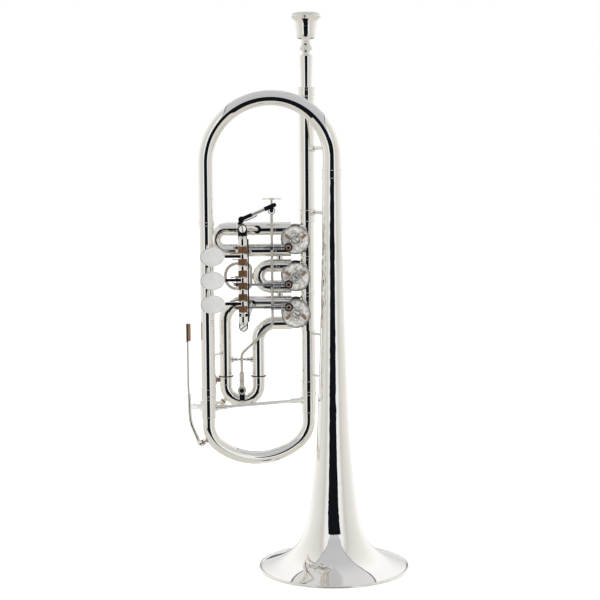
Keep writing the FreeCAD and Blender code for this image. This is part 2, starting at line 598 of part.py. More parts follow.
def make_finger_ring():
    """D-shaped wire ring on the second slide's bow, to pull it by."""
    z = VALVE_Z[1]
    root_x = SLIDE_BOW_X[1] - LOOP_OFFSET - SLIDE_BOW_RADIUS + 0.25
    wire = 1.4
    near, far, half = root_x - 2, root_x - 24.9, 11.4
    corners = [(near, z), (near, z + half), (far, z + half), (far, z - half), (near, z - half), (near, z)]
    loop = swept([Vec(x, WORK_Y, height) for x, height in corners], [5, 10.5, 10.5, 5], wire)
    foot = rod(Vec(root_x - 3, WORK_Y, z), Vec(root_x + 1, WORK_Y, z), 2.3)
    bow = Part.makeTorus(LOOP_OFFSET, SLIDE_BOW_RADIUS, Vec(SLIDE_BOW_X[1], WORK_Y, z), ALONG_Y)
    return fuse_all([loop, foot]).cut(bow)


def make_third_outer_tubes():
    """Outer tubes of the third slide: left from the valve, then bent straight down."""
    start_x = VALVE_X - loop_stub_length(2)
    tubes = []
    for side, x, bend in zip((1, -1), THIRD_LEG_X, THIRD_BEND):
        z = leg_z(2, side)
        points = [Vec(start_x, WORK_Y, z), Vec(x, WORK_Y, z), Vec(x, WORK_Y, THIRD_SPLIT)]
        tubes.append(swept(points, [bend], SLIDE_OUTER, SLIDE_BORE))
    return tubes


def make_third_slide():
    """Third slide's bow with its inner legs, ferrules, water nipple and the lug for the trigger rod."""
    left, right = THIRD_LEG_X
    split = THIRD_SPLIT - SEAM
    low = THIRD_BOW_Z - THIRD_BOW_RADIUS
    bore = SLIDE_LEG - SLIDE_LEG_WALL
    bow = swept([Vec(left, WORK_Y, split), Vec(left, WORK_Y, low), Vec(right, WORK_Y, low),
                 Vec(right, WORK_Y, split)], [THIRD_BOW_RADIUS, THIRD_BOW_RADIUS], SLIDE_BOW_RADIUS, bore)
    shapes = [bow]
    for x in (left, right):
        shapes.append(tube(Vec(x, WORK_Y, split), Vec(x, WORK_Y, 200), SLIDE_LEG, bore))
        ring = Vec(x, WORK_Y, split - 4.1)
        shapes.append(collar(ring, ALONG_Z, FERRULE_RADIUS - 0.4, SLIDE_LEG, 8.2, 0.25))
    nipple = third_nipple(THIRD_BOW_RADIUS + bore + 0.2, THIRD_NIPPLE_TIP, 2.2)
    x = THIRD_CENTRE_X
    lug = block(Vec(x - 2.4, TRIGGER_Y + 2.1, low + 0.5), Vec(x + 2.4, WORK_Y - 3.4, BUTTON_Z + 2.4))
    stud = rod(Vec(x, TRIGGER_Y - 2.2, BUTTON_Z), Vec(x, WORK_Y - 5, BUTTON_Z), 1.5)
    head = rod(Vec(x, TRIGGER_Y - 2.5, BUTTON_Z), Vec(x, TRIGGER_Y - 2.1, BUTTON_Z), 1.9)
    return fuse_all(shapes + [nipple, lug, stud, head]).cut(third_nipple(THIRD_BOW_RADIUS, 30, 1.1))


def third_nipple(start, end, radius):
    """Cylinder that points out of the third slide's bow, down and to the left."""
    way = Vec(math.cos(NIPPLE_ANGLE), 0, math.sin(NIPPLE_ANGLE))
    centre = Vec(THIRD_CENTRE_X, WORK_Y, THIRD_BOW_Z)
    return rod(centre.add(Vec(way).multiply(start)), centre.add(Vec(way).multiply(end)), radius)


def make_third_brace():
    """Round bar between the third slide's outer legs."""
    z = 185.8
    start = Vec(THIRD_LEG_X[0], WORK_Y, z)
    end = Vec(THIRD_LEG_X[1], WORK_Y, z)
    bar = footed_bar(start, end, (SLIDE_OUTER, SLIDE_OUTER), 1.2, 5.5)
    for x in THIRD_LEG_X:
        bar = bar.cut(rod(Vec(x, WORK_Y, z - 9), Vec(x, WORK_Y, z + 9), SLIDE_OUTER))
    return bar


# ---------------------------------------------------------------- exit tube and main tuning slide
def make_exit_tube():
    """Straight outer tube from the third valve down to the main tuning slide's right leg."""
    top = Vec(TUNING_RIGHT_X, WORK_Y, VALVE_Z[2] - VALVE_PITCH / 2)
    return tube(Vec(TUNING_RIGHT_X, WORK_Y, TUNING_SPLIT), top, WINDWAY_RADIUS + 0.2, TUNING_BORE)


def tuning_corners(height):
    """Path of the main tuning slide: down the left leg, round a three-arc bow, up the right leg."""
    left = Vec(LEFT_X, 0, 0)
    right = Vec(TUNING_RIGHT_X, WORK_Y, 0)
    half = right.sub(left).Length / 2
    across = right.sub(left).normalize()
    wide = (half ** 2 + TUNING_RISE ** 2 - 2 * half * TUNING_CORNER) / (2 * (TUNING_RISE - TUNING_CORNER))
    lean = math.atan2(half - TUNING_CORNER, wide - TUNING_RISE)
    turn = math.pi / 2 - lean
    spring = TUNING_BOTTOM + TUNING_RISE
    drop = TUNING_CORNER * math.tan(turn / 2)
    inset = half - wide * math.tan(lean / 2)
    points = [left.add(Vec(0, 0, height)), left.add(Vec(0, 0, spring - drop))]
    points.append(left.add(Vec(across).multiply(inset)).add(Vec(0, 0, TUNING_BOTTOM)))
    points.append(right.sub(Vec(across).multiply(inset)).add(Vec(0, 0, TUNING_BOTTOM)))
    points += [right.add(Vec(0, 0, spring - drop)), right.add(Vec(0, 0, height))]
    return points, [TUNING_CORNER, wide, wide, TUNING_CORNER]


def make_tuning_bow():
    """Main tuning slide: bow and two long inner legs, with the nipple of the water key."""
    split = TUNING_SPLIT - SEAM
    points, radii = tuning_corners(split)
    bore = TUNING_LEG - 0.5
    shapes = [swept(points, radii, TUNING_BOW_RADIUS, bore)]
    for x, y in ((LEFT_X, 0), (TUNING_RIGHT_X, WORK_Y)):
        shapes.append(tube(Vec(x, y, split), Vec(x, y, 198), TUNING_LEG, bore))
    nipple = rod(main_nipple_point(bore + 0.3), main_nipple_point(MAIN_NIPPLE), 2.4)
    bleed = rod(main_nipple_point(0), main_nipple_point(20), 1.2)
    return fuse_all(shapes + [nipple]).cut(bleed)


def main_nipple_point(distance):
    """Point on the axis of the main water key's nipple, counted from the bow's centre line."""
    base_z = TUNING_BOTTOM + TUNING_RISE + TUNING_CORNER * math.sin(MAIN_NIPPLE_ANGLE)
    slant = TUNING_CORNER * (1 + math.cos(MAIN_NIPPLE_ANGLE))
    across = Vec(TUNING_RIGHT_X - LEFT_X, WORK_Y, 0).normalize()
    base = Vec(LEFT_X, 0, base_z).add(across.multiply(slant))
    return base.add(Vec(math.cos(MAIN_NIPPLE_ANGLE), 0, math.sin(MAIN_NIPPLE_ANGLE)).multiply(distance))


def make_tuning_ferrules():
    """Ferrules over the joints of the slide's bow and inner legs."""
    ferrules = []
    for x, y, outer in ((LEFT_X, 0, LEFT_RADIUS), (TUNING_RIGHT_X, WORK_Y, WINDWAY_RADIUS + 0.2)):
        centre = Vec(x, y, TUNING_SPLIT - SEAM - 9)
        ferrules.append(collar(centre, ALONG_Z, outer, TUNING_BOW_RADIUS, 18, 0.3))
    return ferrules


def make_tuning_brace():
    """Long round brace between the tuning slide's legs, thicker at its feet."""
    start = Vec(LEFT_X, 0, 145.0)
    end = Vec(TUNING_RIGHT_X, WORK_Y, 148.6)
    brace = footed_bar(start, end, (LEFT_RADIUS, WINDWAY_RADIUS), 1.5, 11)
    for x, y, radius in ((LEFT_X, 0, LEFT_RADIUS), (TUNING_RIGHT_X, WORK_Y, WINDWAY_RADIUS + 0.2)):
        brace = brace.cut(rod(Vec(x, y, 130), Vec(x, y, 160), radius))
    return brace


# ---------------------------------------------------------------- braces
def make_bell_braces():
    """Braces between the leadpipe and exit tube behind and the bell in front of them."""
    braces = []
    for z, lift, skin in ((374.8, 1.0, LEADPIPE_RADIUS), (318.4, 0, LEADPIPE_RADIUS + 0.6)):
        reaches = (LEADPIPE_RADIUS, BELL_TOP_RADIUS)
        bar = footed_bar(Vec(MAIN_X, WORK_Y, z), Vec(0, 0, z + lift), reaches, 1.4, 4.2)
        bar = bar.cut(rod(Vec(MAIN_X, WORK_Y, z - 9), Vec(MAIN_X, WORK_Y, z + 9), skin))
        braces.append(bar)
    for top, foot, sag in ((209.5, 200.5, 4.0), (171.5, 167.5, 2.0)):
        start = Vec(TUNING_RIGHT_X, WORK_Y, top)
        end = Vec(0, 0, foot)
        middle = start.add(end).multiply(0.5).add(Vec(2.0, -1.2, sag))
        skin = rod(Vec(TUNING_RIGHT_X, WORK_Y, 150), Vec(TUNING_RIGHT_X, WORK_Y, 215), WINDWAY_RADIUS + 0.2)
        braces.append(swept([start, middle, end], [9], 1.1).cut(skin))
    bow = filled_bow(0)
    trimmed = []
    for bar in braces:
        piece = bar.cut(filled_bell()).cut(bow)
        trimmed.append(max(piece.Solids, key=lambda solid: solid.Volume))
    return trimmed


def filled_bell():
    """The bell without its hollow, to trim what is soldered to its outside."""
    outside = bell_outline(0)
    first = outside.Vertexes[0].Point
    last = outside.Vertexes[-1].Point
    edges = [outside, Part.LineSegment(last, Vec(0, 0, last.z)).toShape(),
             Part.LineSegment(Vec(0, 0, last.z), Vec(0, 0, first.z)).toShape(),
             Part.LineSegment(Vec(0, 0, first.z), first).toShape()]
    return Part.Face(Part.Wire(edges)).revolve(Vec(0, 0, 0), ALONG_Z, 360)


def make_spacer_posts():
    """Short posts between neighbouring loops, and the brace from the left tube to the third slide."""
    x = -46.8
    posts = []
    for upper, lower in ((leg_z(0, -1), leg_z(1, 1)), (leg_z(1, -1), leg_z(2, 1))):
        post = fuse_all([rod(Vec(x, WORK_Y, lower), Vec(x, WORK_Y, upper), 1.9),
                         rod(Vec(x, WORK_Y, lower), Vec(x, WORK_Y, lower + SLIDE_OUTER + 0.9), 3.0),
                         rod(Vec(x, WORK_Y, upper - SLIDE_OUTER - 0.9), Vec(x, WORK_Y, upper), 3.0)])
        for z in (upper, lower):
            post = post.cut(rod(Vec(x - 9, WORK_Y, z), Vec(x + 9, WORK_Y, z), SLIDE_OUTER))
        posts.append(max(post.Solids, key=lambda solid: solid.Volume))
    left = Vec(LEFT_X, 0, 191.4)
    right = Vec(THIRD_LEG_X[0], WORK_Y, 192.6)
    bar = footed_bar(left, right, (LEFT_RADIUS, SLIDE_OUTER), 0.9, 4)
    bar = bar.cut(rod(Vec(left.x, left.y, 170), Vec(left.x, left.y, 210), LEFT_RADIUS))
    posts.append(bar.cut(rod(Vec(right.x, right.y, 170), Vec(right.x, right.y, 210), SLIDE_OUTER)))
    return posts


def make_crossover_rings():
    """Rings over the joints of the windway between neighbouring valves."""
    return [collar(Vec(MAIN_X, WORK_Y, VALVE_Z[valve] - VALVE_PITCH / 2), ALONG_Z, WINDWAY_RADIUS + 0.3,
                   WINDWAY_RADIUS, 5, 0.2) for valve in (0, 1)]


# ---------------------------------------------------------------- third-slide trigger
def make_trigger_bracket():
    """Clevis on the first slide's upper tube that holds the trigger's pivot."""
    x, z = TRIGGER_PIVOT
    shapes = [block(Vec(x - 3, TRIGGER_Y - 3.6, z - 4.4), Vec(x + 1.6, WORK_Y - 2.0, z - 2.9))]
    for low in (TRIGGER_Y - 3.6, TRIGGER_Y + 2.2):
        ear = rod(Vec(x, low, z), Vec(x, low + 1.4, z), 2.3)
        root = block(Vec(x - 2.3, low, z - 4), Vec(x + 1.6, low + 1.4, z))
        shapes += [ear, root]
    bore = rod(Vec(x, 0, z), Vec(x, WORK_Y, z), 1.1)
    top_tube = rod(Vec(-90, WORK_Y, leg_z(0, 1)), Vec(-60, WORK_Y, leg_z(0, 1)), SLIDE_OUTER)
    return fuse_all(shapes).cut(bore).cut(top_tube)


def make_trigger_screw():
    """Pivot screw of the trigger, with a round head in front."""
    x, z = TRIGGER_PIVOT
    pin = rod(Vec(x, TRIGGER_Y - 3.6, z), Vec(x, TRIGGER_Y + 3.6, z), 1.1)
    head = rod(Vec(x, TRIGGER_Y - 5.2, z), Vec(x, TRIGGER_Y - 3.6, z), 2.5)
    slot = block(Vec(x - 3, TRIGGER_Y - 6, z - 0.3), Vec(x + 3, TRIGGER_Y - 4.8, z + 0.3))
    return fuse_all([pin, head]).cut(slot)


def make_trigger_lever():
    """Arm from the pivot to the rod's pin, with the stem of the thumb plate."""
    x, z = TRIGGER_PIVOT
    end_x, end_z = TRIGGER_EYE
    y = TRIGGER_Y
    root = block(Vec(0, y - 1.6, -1.7), Vec(10.5, y + 1.6, 1.7))
    arm = rod(Vec(8, y, 0), Vec(25, y, 0), 1.6)
    cheek = block(Vec(22.6, y - 2.2, -1.9), Vec(32.0, y + 2.2, 1.9))
    nose = rod(Vec(32.0, y - 2.2, 0), Vec(32.0, y + 2.2, 0), 1.9)
    for piece in (root, arm, cheek, nose):
        piece.rotate(Vec(0, 0, 0), ALONG_Y, -TRIGGER_TILT)
        piece.translate(Vec(x, 0, z))
    hub = rod(Vec(x, y - 2.1, z), Vec(x, y + 2.1, z), 2.5)
    yoke = block(Vec(end_x - 1.7, y - 2.2, end_z), Vec(end_x + 1.7, y + 2.2, end_z + 4.5))
    tip = rod(Vec(end_x, y - 2.2, end_z), Vec(end_x, y + 2.2, end_z), 1.7)
    stem = rod(Vec(end_x, y, end_z + 5.2), Vec(end_x, y, THUMB_Z), 1.4)
    room = rod(Vec(end_x, y - 1.2, end_z), Vec(end_x, y + 1.2, end_z), 4.9)
    lever = fuse_all([hub, root, arm, cheek, nose, yoke, tip, stem]).cut(room)
    lever = lever.fuse(rod(Vec(end_x, y - 2.2, end_z), Vec(end_x, y + 2.2, end_z), 1.1))
    return lever.cut(rod(Vec(x, y - 5, z), Vec(x, y + 5, z), 1.1 + FIT))


def make_thumb_plate():
    """Round touch of the trigger, dished on top."""
    outline = [(0, 0), (7.6, 0.2), (8.7, 0.8), (8.7, 1.2), (8.2, 1.4), (7.0, 1.1), (0, 0.7)]
    return turned(outline, Vec(TRIGGER_EYE[0], TRIGGER_Y, THUMB_Z))


def make_trigger_rod():
    """Rod from the trigger to the third slide: top ring, two bends, sleeve and round foot."""
    y = TRIGGER_Y
    x, z = TRIGGER_EYE
    ring = tube(Vec(x, y - 0.8, z), Vec(x, y + 0.8, z), 3.35, 2.4)
    stem = swept([Vec(x, y, z - 2.9), Vec(x, y, 218.0), Vec(THIRD_CENTRE_X, y, 192.0),
                  Vec(THIRD_CENTRE_X, y, 164.0)], [7, 7], 1.2)
    sleeve = rod(Vec(THIRD_CENTRE_X, y, 162.0), Vec(THIRD_CENTRE_X, y, 175.0), 2.2)
    foot = tube(Vec(THIRD_CENTRE_X, y - 1.9, BUTTON_Z), Vec(THIRD_CENTRE_X, y + 1.9, BUTTON_Z), 3.7, 1.5)
    bore = rod(Vec(THIRD_CENTRE_X, y - 3, BUTTON_Z), Vec(THIRD_CENTRE_X, y + 3, BUTTON_Z), 1.5 + FIT)
    return fuse_all([ring, stem, sleeve, foot]).cut(bore)


def make_trigger_spring():
    """Coil of the trigger's return spring, on the pivot behind the clevis."""
    x, z = TRIGGER_PIVOT
    coil = tube(Vec(x, TRIGGER_Y + 3.7, z), Vec(x, TRIGGER_Y + 6.4, z), 2.4, 1.5)
    return coil


# ---------------------------------------------------------------- water keys
def make_main_key_bracket():
    """Two ears on the tuning slide's left ferrule that hold the main water key's pin."""
    x, z = MAIN_KEY_PIVOT.x, MAIN_KEY_PIVOT.z
    shapes = []
    for low in (-3.1, 1.9):
        ear = rod(Vec(x, low, z), Vec(x, low + 1.2, z), 2.3)
        bar = block(Vec(x, low, z - 1.6), Vec(LEFT_X - 4.5, low + 1.2, z + 2.0))
        shapes += [ear, bar]
    shapes.append(rod(Vec(x, -3.1, z), Vec(x, 3.1, z), 0.9))
    shapes.append(block(Vec(LEFT_X - LEFT_RADIUS - 1.2, -3.1, z - 3), Vec(LEFT_X - 5, 3.1, z + 5)))
    bracket = fuse_all(shapes)
    return bracket.cut(rod(Vec(LEFT_X, 0, 130), Vec(LEFT_X, 0, 160), LEFT_RADIUS + 0.02))


def make_main_water_key():
    """Long key: cork cup at the bow, curved arm, hub on the pin and a flat strip up to the touch."""
    pivot = MAIN_KEY_PIVOT
    cup = main_nipple_point(MAIN_NIPPLE + 2.9)
    back = main_nipple_point(MAIN_NIPPLE + 4.6)
    hub = rod(pivot.add(Vec(0, -1.8, 0)), pivot.add(Vec(0, 1.8, 0)), 2.2)
    lower = swept([Vec(-128.3, 0, 158.0), Vec(-127.5, 0, 133.0), Vec(-120.6, 0, 116.6), back], [42, 6], 1.7)
    upper = swept([Vec(-127.9, 0, 152.0), Vec(-128.8, 0, 164.0), Vec(-128.9, 0, 205.4)], [30], 1.1)
    touch = block(Vec(-129.7, -3.4, 204.8), Vec(-128.4, 3.4, 221.2))
    cap = rod(main_nipple_point(MAIN_NIPPLE + 1.4), back, 3.0)
    key = fuse_all([hub, lower, upper, touch, cap]).cut(rod(main_nipple_point(MAIN_NIPPLE - 1), cup, 2.5))
    return key.cut(rod(pivot.add(Vec(0, -4, 0)), pivot.add(Vec(0, 4, 0)), 0.9 + FIT))


def make_main_key_corks():
    """Cork that seals the nipple, and the cork strip behind the touch."""
    seal = rod(main_nipple_point(MAIN_NIPPLE + GAP), main_nipple_point(MAIN_NIPPLE + 2.9), 2.5)
    strip = block(Vec(-128.4, -2.8, 205.6), Vec(-126.2, 2.8, 220.8))
    return [seal, strip]


def make_third_key_bracket():
    """Ears on the third slide's left ferrule that hold its water key."""
    x, z = THIRD_KEY_PIVOT.x, THIRD_KEY_PIVOT.z
    shapes = [rod(Vec(x, WORK_Y - 2.9, z), Vec(x, WORK_Y + 2.9, z), 0.8)]
    for low in (WORK_Y - 2.9, WORK_Y + 1.9):
        shapes.append(rod(Vec(x, low, z), Vec(x, low + 1.0, z), 1.9))
        shapes.append(block(Vec(x, low, z - 1.7), Vec(THIRD_LEG_X[0] - 4, low + 1.0, z + 1.5)))
    bracket = fuse_all(shapes)
    leg_x = THIRD_LEG_X[0]
    return bracket.cut(rod(Vec(leg_x, WORK_Y, 160), Vec(leg_x, WORK_Y, 180), FERRULE_RADIUS - 0.1))


def make_third_water_key():
    """Short key on the third slide: cork cup, arm, hub and finger tip."""
    pivot = THIRD_KEY_PIVOT
    centre = Vec(THIRD_CENTRE_X, WORK_Y, THIRD_BOW_Z)
    way = Vec(math.cos(NIPPLE_ANGLE), 0, math.sin(NIPPLE_ANGLE))
    back = centre.add(Vec(way).multiply(THIRD_NIPPLE_TIP + 4.2))
    cap = third_nipple(THIRD_NIPPLE_TIP + 1.3, THIRD_NIPPLE_TIP + 4.2, 2.9)
    hub = rod(pivot.add(Vec(0, -1.8, 0)), pivot.add(Vec(0, 1.8, 0)), 1.8)
    lower = swept([pivot, Vec(-108.6, WORK_Y, 157.0), Vec(-107.0, WORK_Y, 146.0),
                   back.add(Vec(way).multiply(-0.7))], [7, 4], 1.2)
    upper = swept([pivot, Vec(-108.2, WORK_Y, 178.0), Vec(-108.4, WORK_Y, 197.0)], [14], 0.9)
    tip = rod(Vec(-109.0, WORK_Y, 197.0), Vec(-107.8, WORK_Y, 197.0), 3.2)
    key = fuse_all([hub, lower, upper, tip, cap])
    key = key.cut(third_nipple(THIRD_NIPPLE_TIP - 1, THIRD_NIPPLE_TIP + 2.7, 2.4))
    return key.cut(rod(pivot.add(Vec(0, -4, 0)), pivot.add(Vec(0, 4, 0)), 0.8 + FIT))


def make_third_key_cork():
    return third_nipple(THIRD_NIPPLE_TIP + GAP, THIRD_NIPPLE_TIP + 2.7, 2.4)


# ---------------------------------------------------------------- write the nodes
def main():
    export("bell", [make_bell()])
    export("bell_rim_wire", [make_rim_wire()])
    export("top_bow", [make_top_bow()])
    export("left_tube", [make_left_tube()])
    export("joint_ferrules", make_joint_ferrules())
    export("bell_braces", make_bell_braces())
    export("receiver", [make_receiver()])
    export("leadpipe", [make_leadpipe()])
    export("mouthpiece", [make_mouthpiece()])
    for valve in range(3):
        number = str(valve + 1)
        export("valve_casing_" + number, [make_casing(valve)])
        export("rotor_" + number, [make_rotor(valve)])
        export("stop_arm_" + number, [make_stop_arm(valve), make_stop_screw(valve)])
        export("link_rod_" + number, [make_link_rod(valve)])
        export("lever_" + number, [make_lever(valve), make_lever_pin(valve)])
        export("finger_plate_" + number, [make_finger_plate(valve)])
    export("bearing_plates", [make_bearing_plate(valve) for valve in range(3)])
    export("back_caps", [make_back_cap(valve) for valve in range(3)])
    export("stop_corks", [cork for valve in range(3) for cork in make_stop_corks(valve)])
    export("crossover_rings", make_crossover_rings())
    export("exit_tube", [make_exit_tube()])
    export("slide_1_outer_tubes", make_side_outer_tubes(0))
    export("slide_2_outer_tubes", make_side_outer_tubes(1))
    export("slide_3_outer_tubes", make_third_outer_tubes())
    export("slide_3_leg_brace", [make_third_brace()])
    export("loop_posts", make_spacer_posts())
    export("lever_carrier", [make_lever_carrier()])
    export("lever_shaft", [make_lever_shaft()])
    export("shaft_nuts_and_sleeves", make_shaft_nuts() + make_spacers())
    export("carrier_screws", make_carrier_screws())
    export("lever_springs", make_lever_springs())
    export("trigger_bracket", [make_trigger_bracket(), make_trigger_screw()])
    export("trigger_spring", [make_trigger_spring()])
    export("trigger_lever", [make_trigger_lever()])
    export("thumb_plate", [make_thumb_plate()])
    export("trigger_rod", [make_trigger_rod()])
    export("slide_1", [make_side_slide(0, -52.0)])
    export("slide_2", [make_side_slide(1, -43.5)])
    export("finger_ring", [make_finger_ring()])
    export("slide_3", [make_third_slide()])
    export("slide_3_key_bracket", [make_third_key_bracket()])
    export("slide_3_water_key", [make_third_water_key()])
    export("slide_3_key_cork", [make_third_key_cork()])
    export("tuning_slide", [make_tuning_bow()])
    export("tuning_ferrules", make_tuning_ferrules())
    export("tuning_brace", [make_tuning_brace()])
    export("main_key_bracket", [make_main_key_bracket()])
    export("main_water_key", [make_main_water_key()])
    export("main_key_corks", make_main_key_corks())


main()
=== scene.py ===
"""Looks of the rotary-valve trumpet: materials, turned and wound detail, studio tent and camera.

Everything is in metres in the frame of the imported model: +Z up, the finger levers towards -Y.
"""
import math

import bmesh
import bpy
from mathutils import Matrix, Quaternion, Vector


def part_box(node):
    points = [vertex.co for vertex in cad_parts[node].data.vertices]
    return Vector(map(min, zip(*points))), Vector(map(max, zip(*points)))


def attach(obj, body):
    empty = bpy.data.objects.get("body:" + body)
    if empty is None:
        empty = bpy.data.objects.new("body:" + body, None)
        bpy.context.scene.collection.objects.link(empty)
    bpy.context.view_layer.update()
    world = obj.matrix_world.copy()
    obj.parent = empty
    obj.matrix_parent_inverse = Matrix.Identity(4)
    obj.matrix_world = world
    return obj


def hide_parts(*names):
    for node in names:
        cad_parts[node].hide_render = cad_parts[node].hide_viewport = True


MM = 0.001

# ---------------------------------------------------------------- camera and studio
CAMERA_PLACE = Vector((-0.0288, -1.1831, 0.3488))
CAMERA_PITCH = math.radians(-5.19)
CAMERA_ROLL = math.radians(-0.43)
CAMERA_LENS = 80.5
SENSOR_WIDTH = 36.0
CLIP_END = 40.0

CARD_Y = -1.62            # black opening of the tent that the camera looks through
CARD_CORNERS = ((-1.005, -0.40), (0.535, -0.40), (0.855, 0.675), (-0.685, 0.675))
TABLE_EDGE_Y = -0.34      # front edge of the table; the black goes on down to it
TABLE_EDGE_Z = -0.02
TABLE_EDGE_SIDES = (-0.50, 0.20)
ROOF_Z = 0.675            # grey roof of the tent, narrower and paler behind the object
ROOF_BACK_Y = 0.90
ROOF_FRONT_SIDES = (-0.46, 0.48)
ROOF_BACK_SIDES = (-0.24, 0.26)
SEAM_WIDTH = 0.014        # dark seam along each side of the roof
BACK_CARD_Y = 1.4         # dark strip behind, for the side that faces away
BACK_CORNERS = ((-0.30, -0.10), (0.10, -0.10), (0.30, 0.75), (-0.10, 0.75))
DOME_RADIUS = 9.0
FLOOR_RADIUS = 8.9
FLOOR_SIDES = 96
FLOOR_GLOW = 0.56         # keeps the paper as bright as the backdrop
FLOOR_ROUGHNESS = 0.9
FLOOR_SPECULAR = 0.1

WHITE = (1.0, 1.0, 1.0)
BLACK_CARD = (0.006, 0.0075, 0.010)
GREY_CARD = (0.16, 0.16, 0.17)
SEAM_TINT = (0.22, 0.22, 0.23)
TABLE_TINT = (0.66, 0.64, 0.59)
FLOOR_DARK = (0.93, 0.925, 0.915)
FLOOR_LIGHT = (0.955, 0.95, 0.94)

# the tent's walls: share of the half turn from front to back, and tint
WALL_TINTS = (
    (0.0, (0.88, 0.90, 0.91)), (0.19, (0.88, 0.90, 0.91)), (0.24, (0.72, 0.71, 0.69)),
    (0.29, (0.60, 0.59, 0.57)), (0.36, (0.69, 0.68, 0.65)), (0.46, (0.74, 0.73, 0.70)),
    (0.64, (0.84, 0.83, 0.80)), (0.74, (0.93, 0.93, 0.92)), (0.82, WHITE),
    (0.88, (0.97, 0.97, 0.97)), (0.93, (0.72, 0.72, 0.71)), (1.0, (0.84, 0.84, 0.84)),
)
# the walls give way to the table between these upward parts of a direction
TABLE_BLEND = (-0.12, -0.38)
# the roof: share of the way from front to back, and tint
ROOF_TINTS = (
    (0.0, (0.58, 0.60, 0.63)), (0.30, (0.52, 0.525, 0.555)), (0.62, (0.55, 0.55, 0.575)),
    (0.80, (0.70, 0.70, 0.71)), (1.0, (0.80, 0.80, 0.80)),
)


# ---------------------------------------------------------------- node helpers
def fresh_material(name):
    """A material with an empty node tree, a Principled shader and an output."""
    material = bpy.data.materials.new(name)
    material.use_nodes = True
    tree = material.node_tree
    tree.nodes.clear()
    shader = tree.nodes.new("ShaderNodeBsdfPrincipled")
    output = tree.nodes.new("ShaderNodeOutputMaterial")
    tree.links.new(shader.outputs["BSDF"], output.inputs["Surface"])
    return material, tree, shader


def add_node(tree, kind, **settings):
    """A node with its settings, and its inputs by name with _ for a space."""
    node = tree.nodes.new(kind)
    for key, value in settings.items():
        if hasattr(node, key):
            setattr(node, key, value)
        else:
            node.inputs[key.replace("_", " ")].default_value = value
    return node


def noise(tree, coordinates, scale, detail, stretch=None):
    """Noise over the object, optionally stretched along some axes."""
    vector = coordinates
    if stretch:
        mapping = add_node(tree, "ShaderNodeMapping")
        mapping.inputs["Scale"].default_value = stretch
        tree.links.new(coordinates, mapping.inputs["Vector"])
        vector = mapping.outputs["Vector"]
    texture = add_node(tree, "ShaderNodeTexNoise", Scale=scale, Detail=detail)
    tree.links.new(vector, texture.inputs["Vector"])
    return texture.outputs["Fac"]


def ramp(tree, value, stops):
    """Colour ramp from (place, colour) stops."""
    node = tree.nodes.new("ShaderNodeValToRGB")
    elements = node.color_ramp.elements
    while len(elements) > 1:
        elements.remove(elements[-1])
    elements[0].position = stops[0][0]
    elements[0].color = (*stops[0][1], 1)
    for place, colour in stops[1:]:
        elements.new(place).color = (*colour, 1)
    tree.links.new(value, node.inputs["Fac"])
    return node.outputs["Color"]


def remapped(tree, value, source=(0.0, 1.0), target=(0.0, 1.0), **settings):
    """A value moved from one range to another."""
    node = add_node(tree, "ShaderNodeMapRange", **settings)
    node.inputs["From Min"].default_value, node.inputs["From Max"].default_value = source
    node.inputs["To Min"].default_value, node.inputs["To Max"].default_value = target
    tree.links.new(value, node.inputs["Value"])
    return node.outputs["Result"]


def calculated(tree, operation, first, second=None):
    """Result of an operation on a value alone, or with a number or another value."""
    node = add_node(tree, "ShaderNodeMath", operation=operation)
    tree.links.new(first, node.inputs[0])
    if isinstance(second, float):
        node.inputs[1].default_value = second
    elif second is not None:
        tree.links.new(second, node.inputs[1])
    return node.outputs[0]


def mixed(tree, share, first, colour):
    """A colour moved towards a fixed one by a share."""
    mix = add_node(tree, "ShaderNodeMix", data_type="RGBA")
    tree.links.new(share, mix.inputs[0])
    tree.links.new(first, mix.inputs[6])
    mix.inputs[7].default_value = (*colour, 1)
    return mix.outputs[2]


def bumped(tree, shader, height, strength, distance):
    """Raises the surface by a height, and sets the shader's normal."""
    node = add_node(tree, "ShaderNodeBump", Strength=strength, Distance=distance)
    tree.links.new(height, node.inputs["Height"])
    tree.links.new(node.outputs["Normal"], shader.inputs["Normal"])


def object_coordinates(tree):
    """Places on the piece itself, so that a pattern moves with it."""
    return add_node(tree, "ShaderNodeTexCoord").outputs["Object"]


# ---------------------------------------------------------------- materials
PATCH_SCALE = 38.0        # faint tint patches on polished metal, a few centimetres across
WEAR_SCALE = 140.0
CLOUD_SCALE = 160.0       # handling marks on ground metal
MOTTLE_SCALE = 330.0      # finer marks on the turned plates
GRAIN_SCALE = 2400.0
GRAIN_STRETCH = (0.2, 1.0, 1.0)
GRAIN_BUMP = 0.12
GRAIN_HEIGHT = 0.05 * MM
CORK_SCALE = 1500.0
CORK_BUMP = 0.5
CORK_HEIGHT = 0.15 * MM
CORK_ROUGHNESS = 0.85
CORK_PORE = (0.10, 0.055, 0.03)
CORK_GRAIN = (0.27, 0.16, 0.09)

# name, light tint, dark tint, roughness range, metallic
POLISHED = {
    "silver": ("silver_polished", (0.975, 0.962, 0.935), (0.955, 0.938, 0.90), (0.012, 0.026), 1.0),
    "bronze": ("bronze_wire", (0.33, 0.185, 0.105), (0.17, 0.09, 0.05), (0.32, 0.45), 0.8),
    "copper": ("bronze_ball", (0.60, 0.42, 0.33), (0.40, 0.26, 0.20), (0.20, 0.30), 1.0),
    "steel": ("steel_blued", (0.50, 0.51, 0.56), (0.36, 0.365, 0.40), (0.16, 0.26), 1.0),
    "brass": ("brass_bright", (0.82, 0.60, 0.28), (0.70, 0.49, 0.21), (0.16, 0.26), 1.0),
    # painted shade: near-black for the lines in grooves, slots, gaps and edges, and also for the
    # third slide's open joints
    "dark": ("dark_joints_and_painted_shade", (0.07, 0.055, 0.05), (0.03, 0.024, 0.022), (0.32, 0.45), 0.8),
}
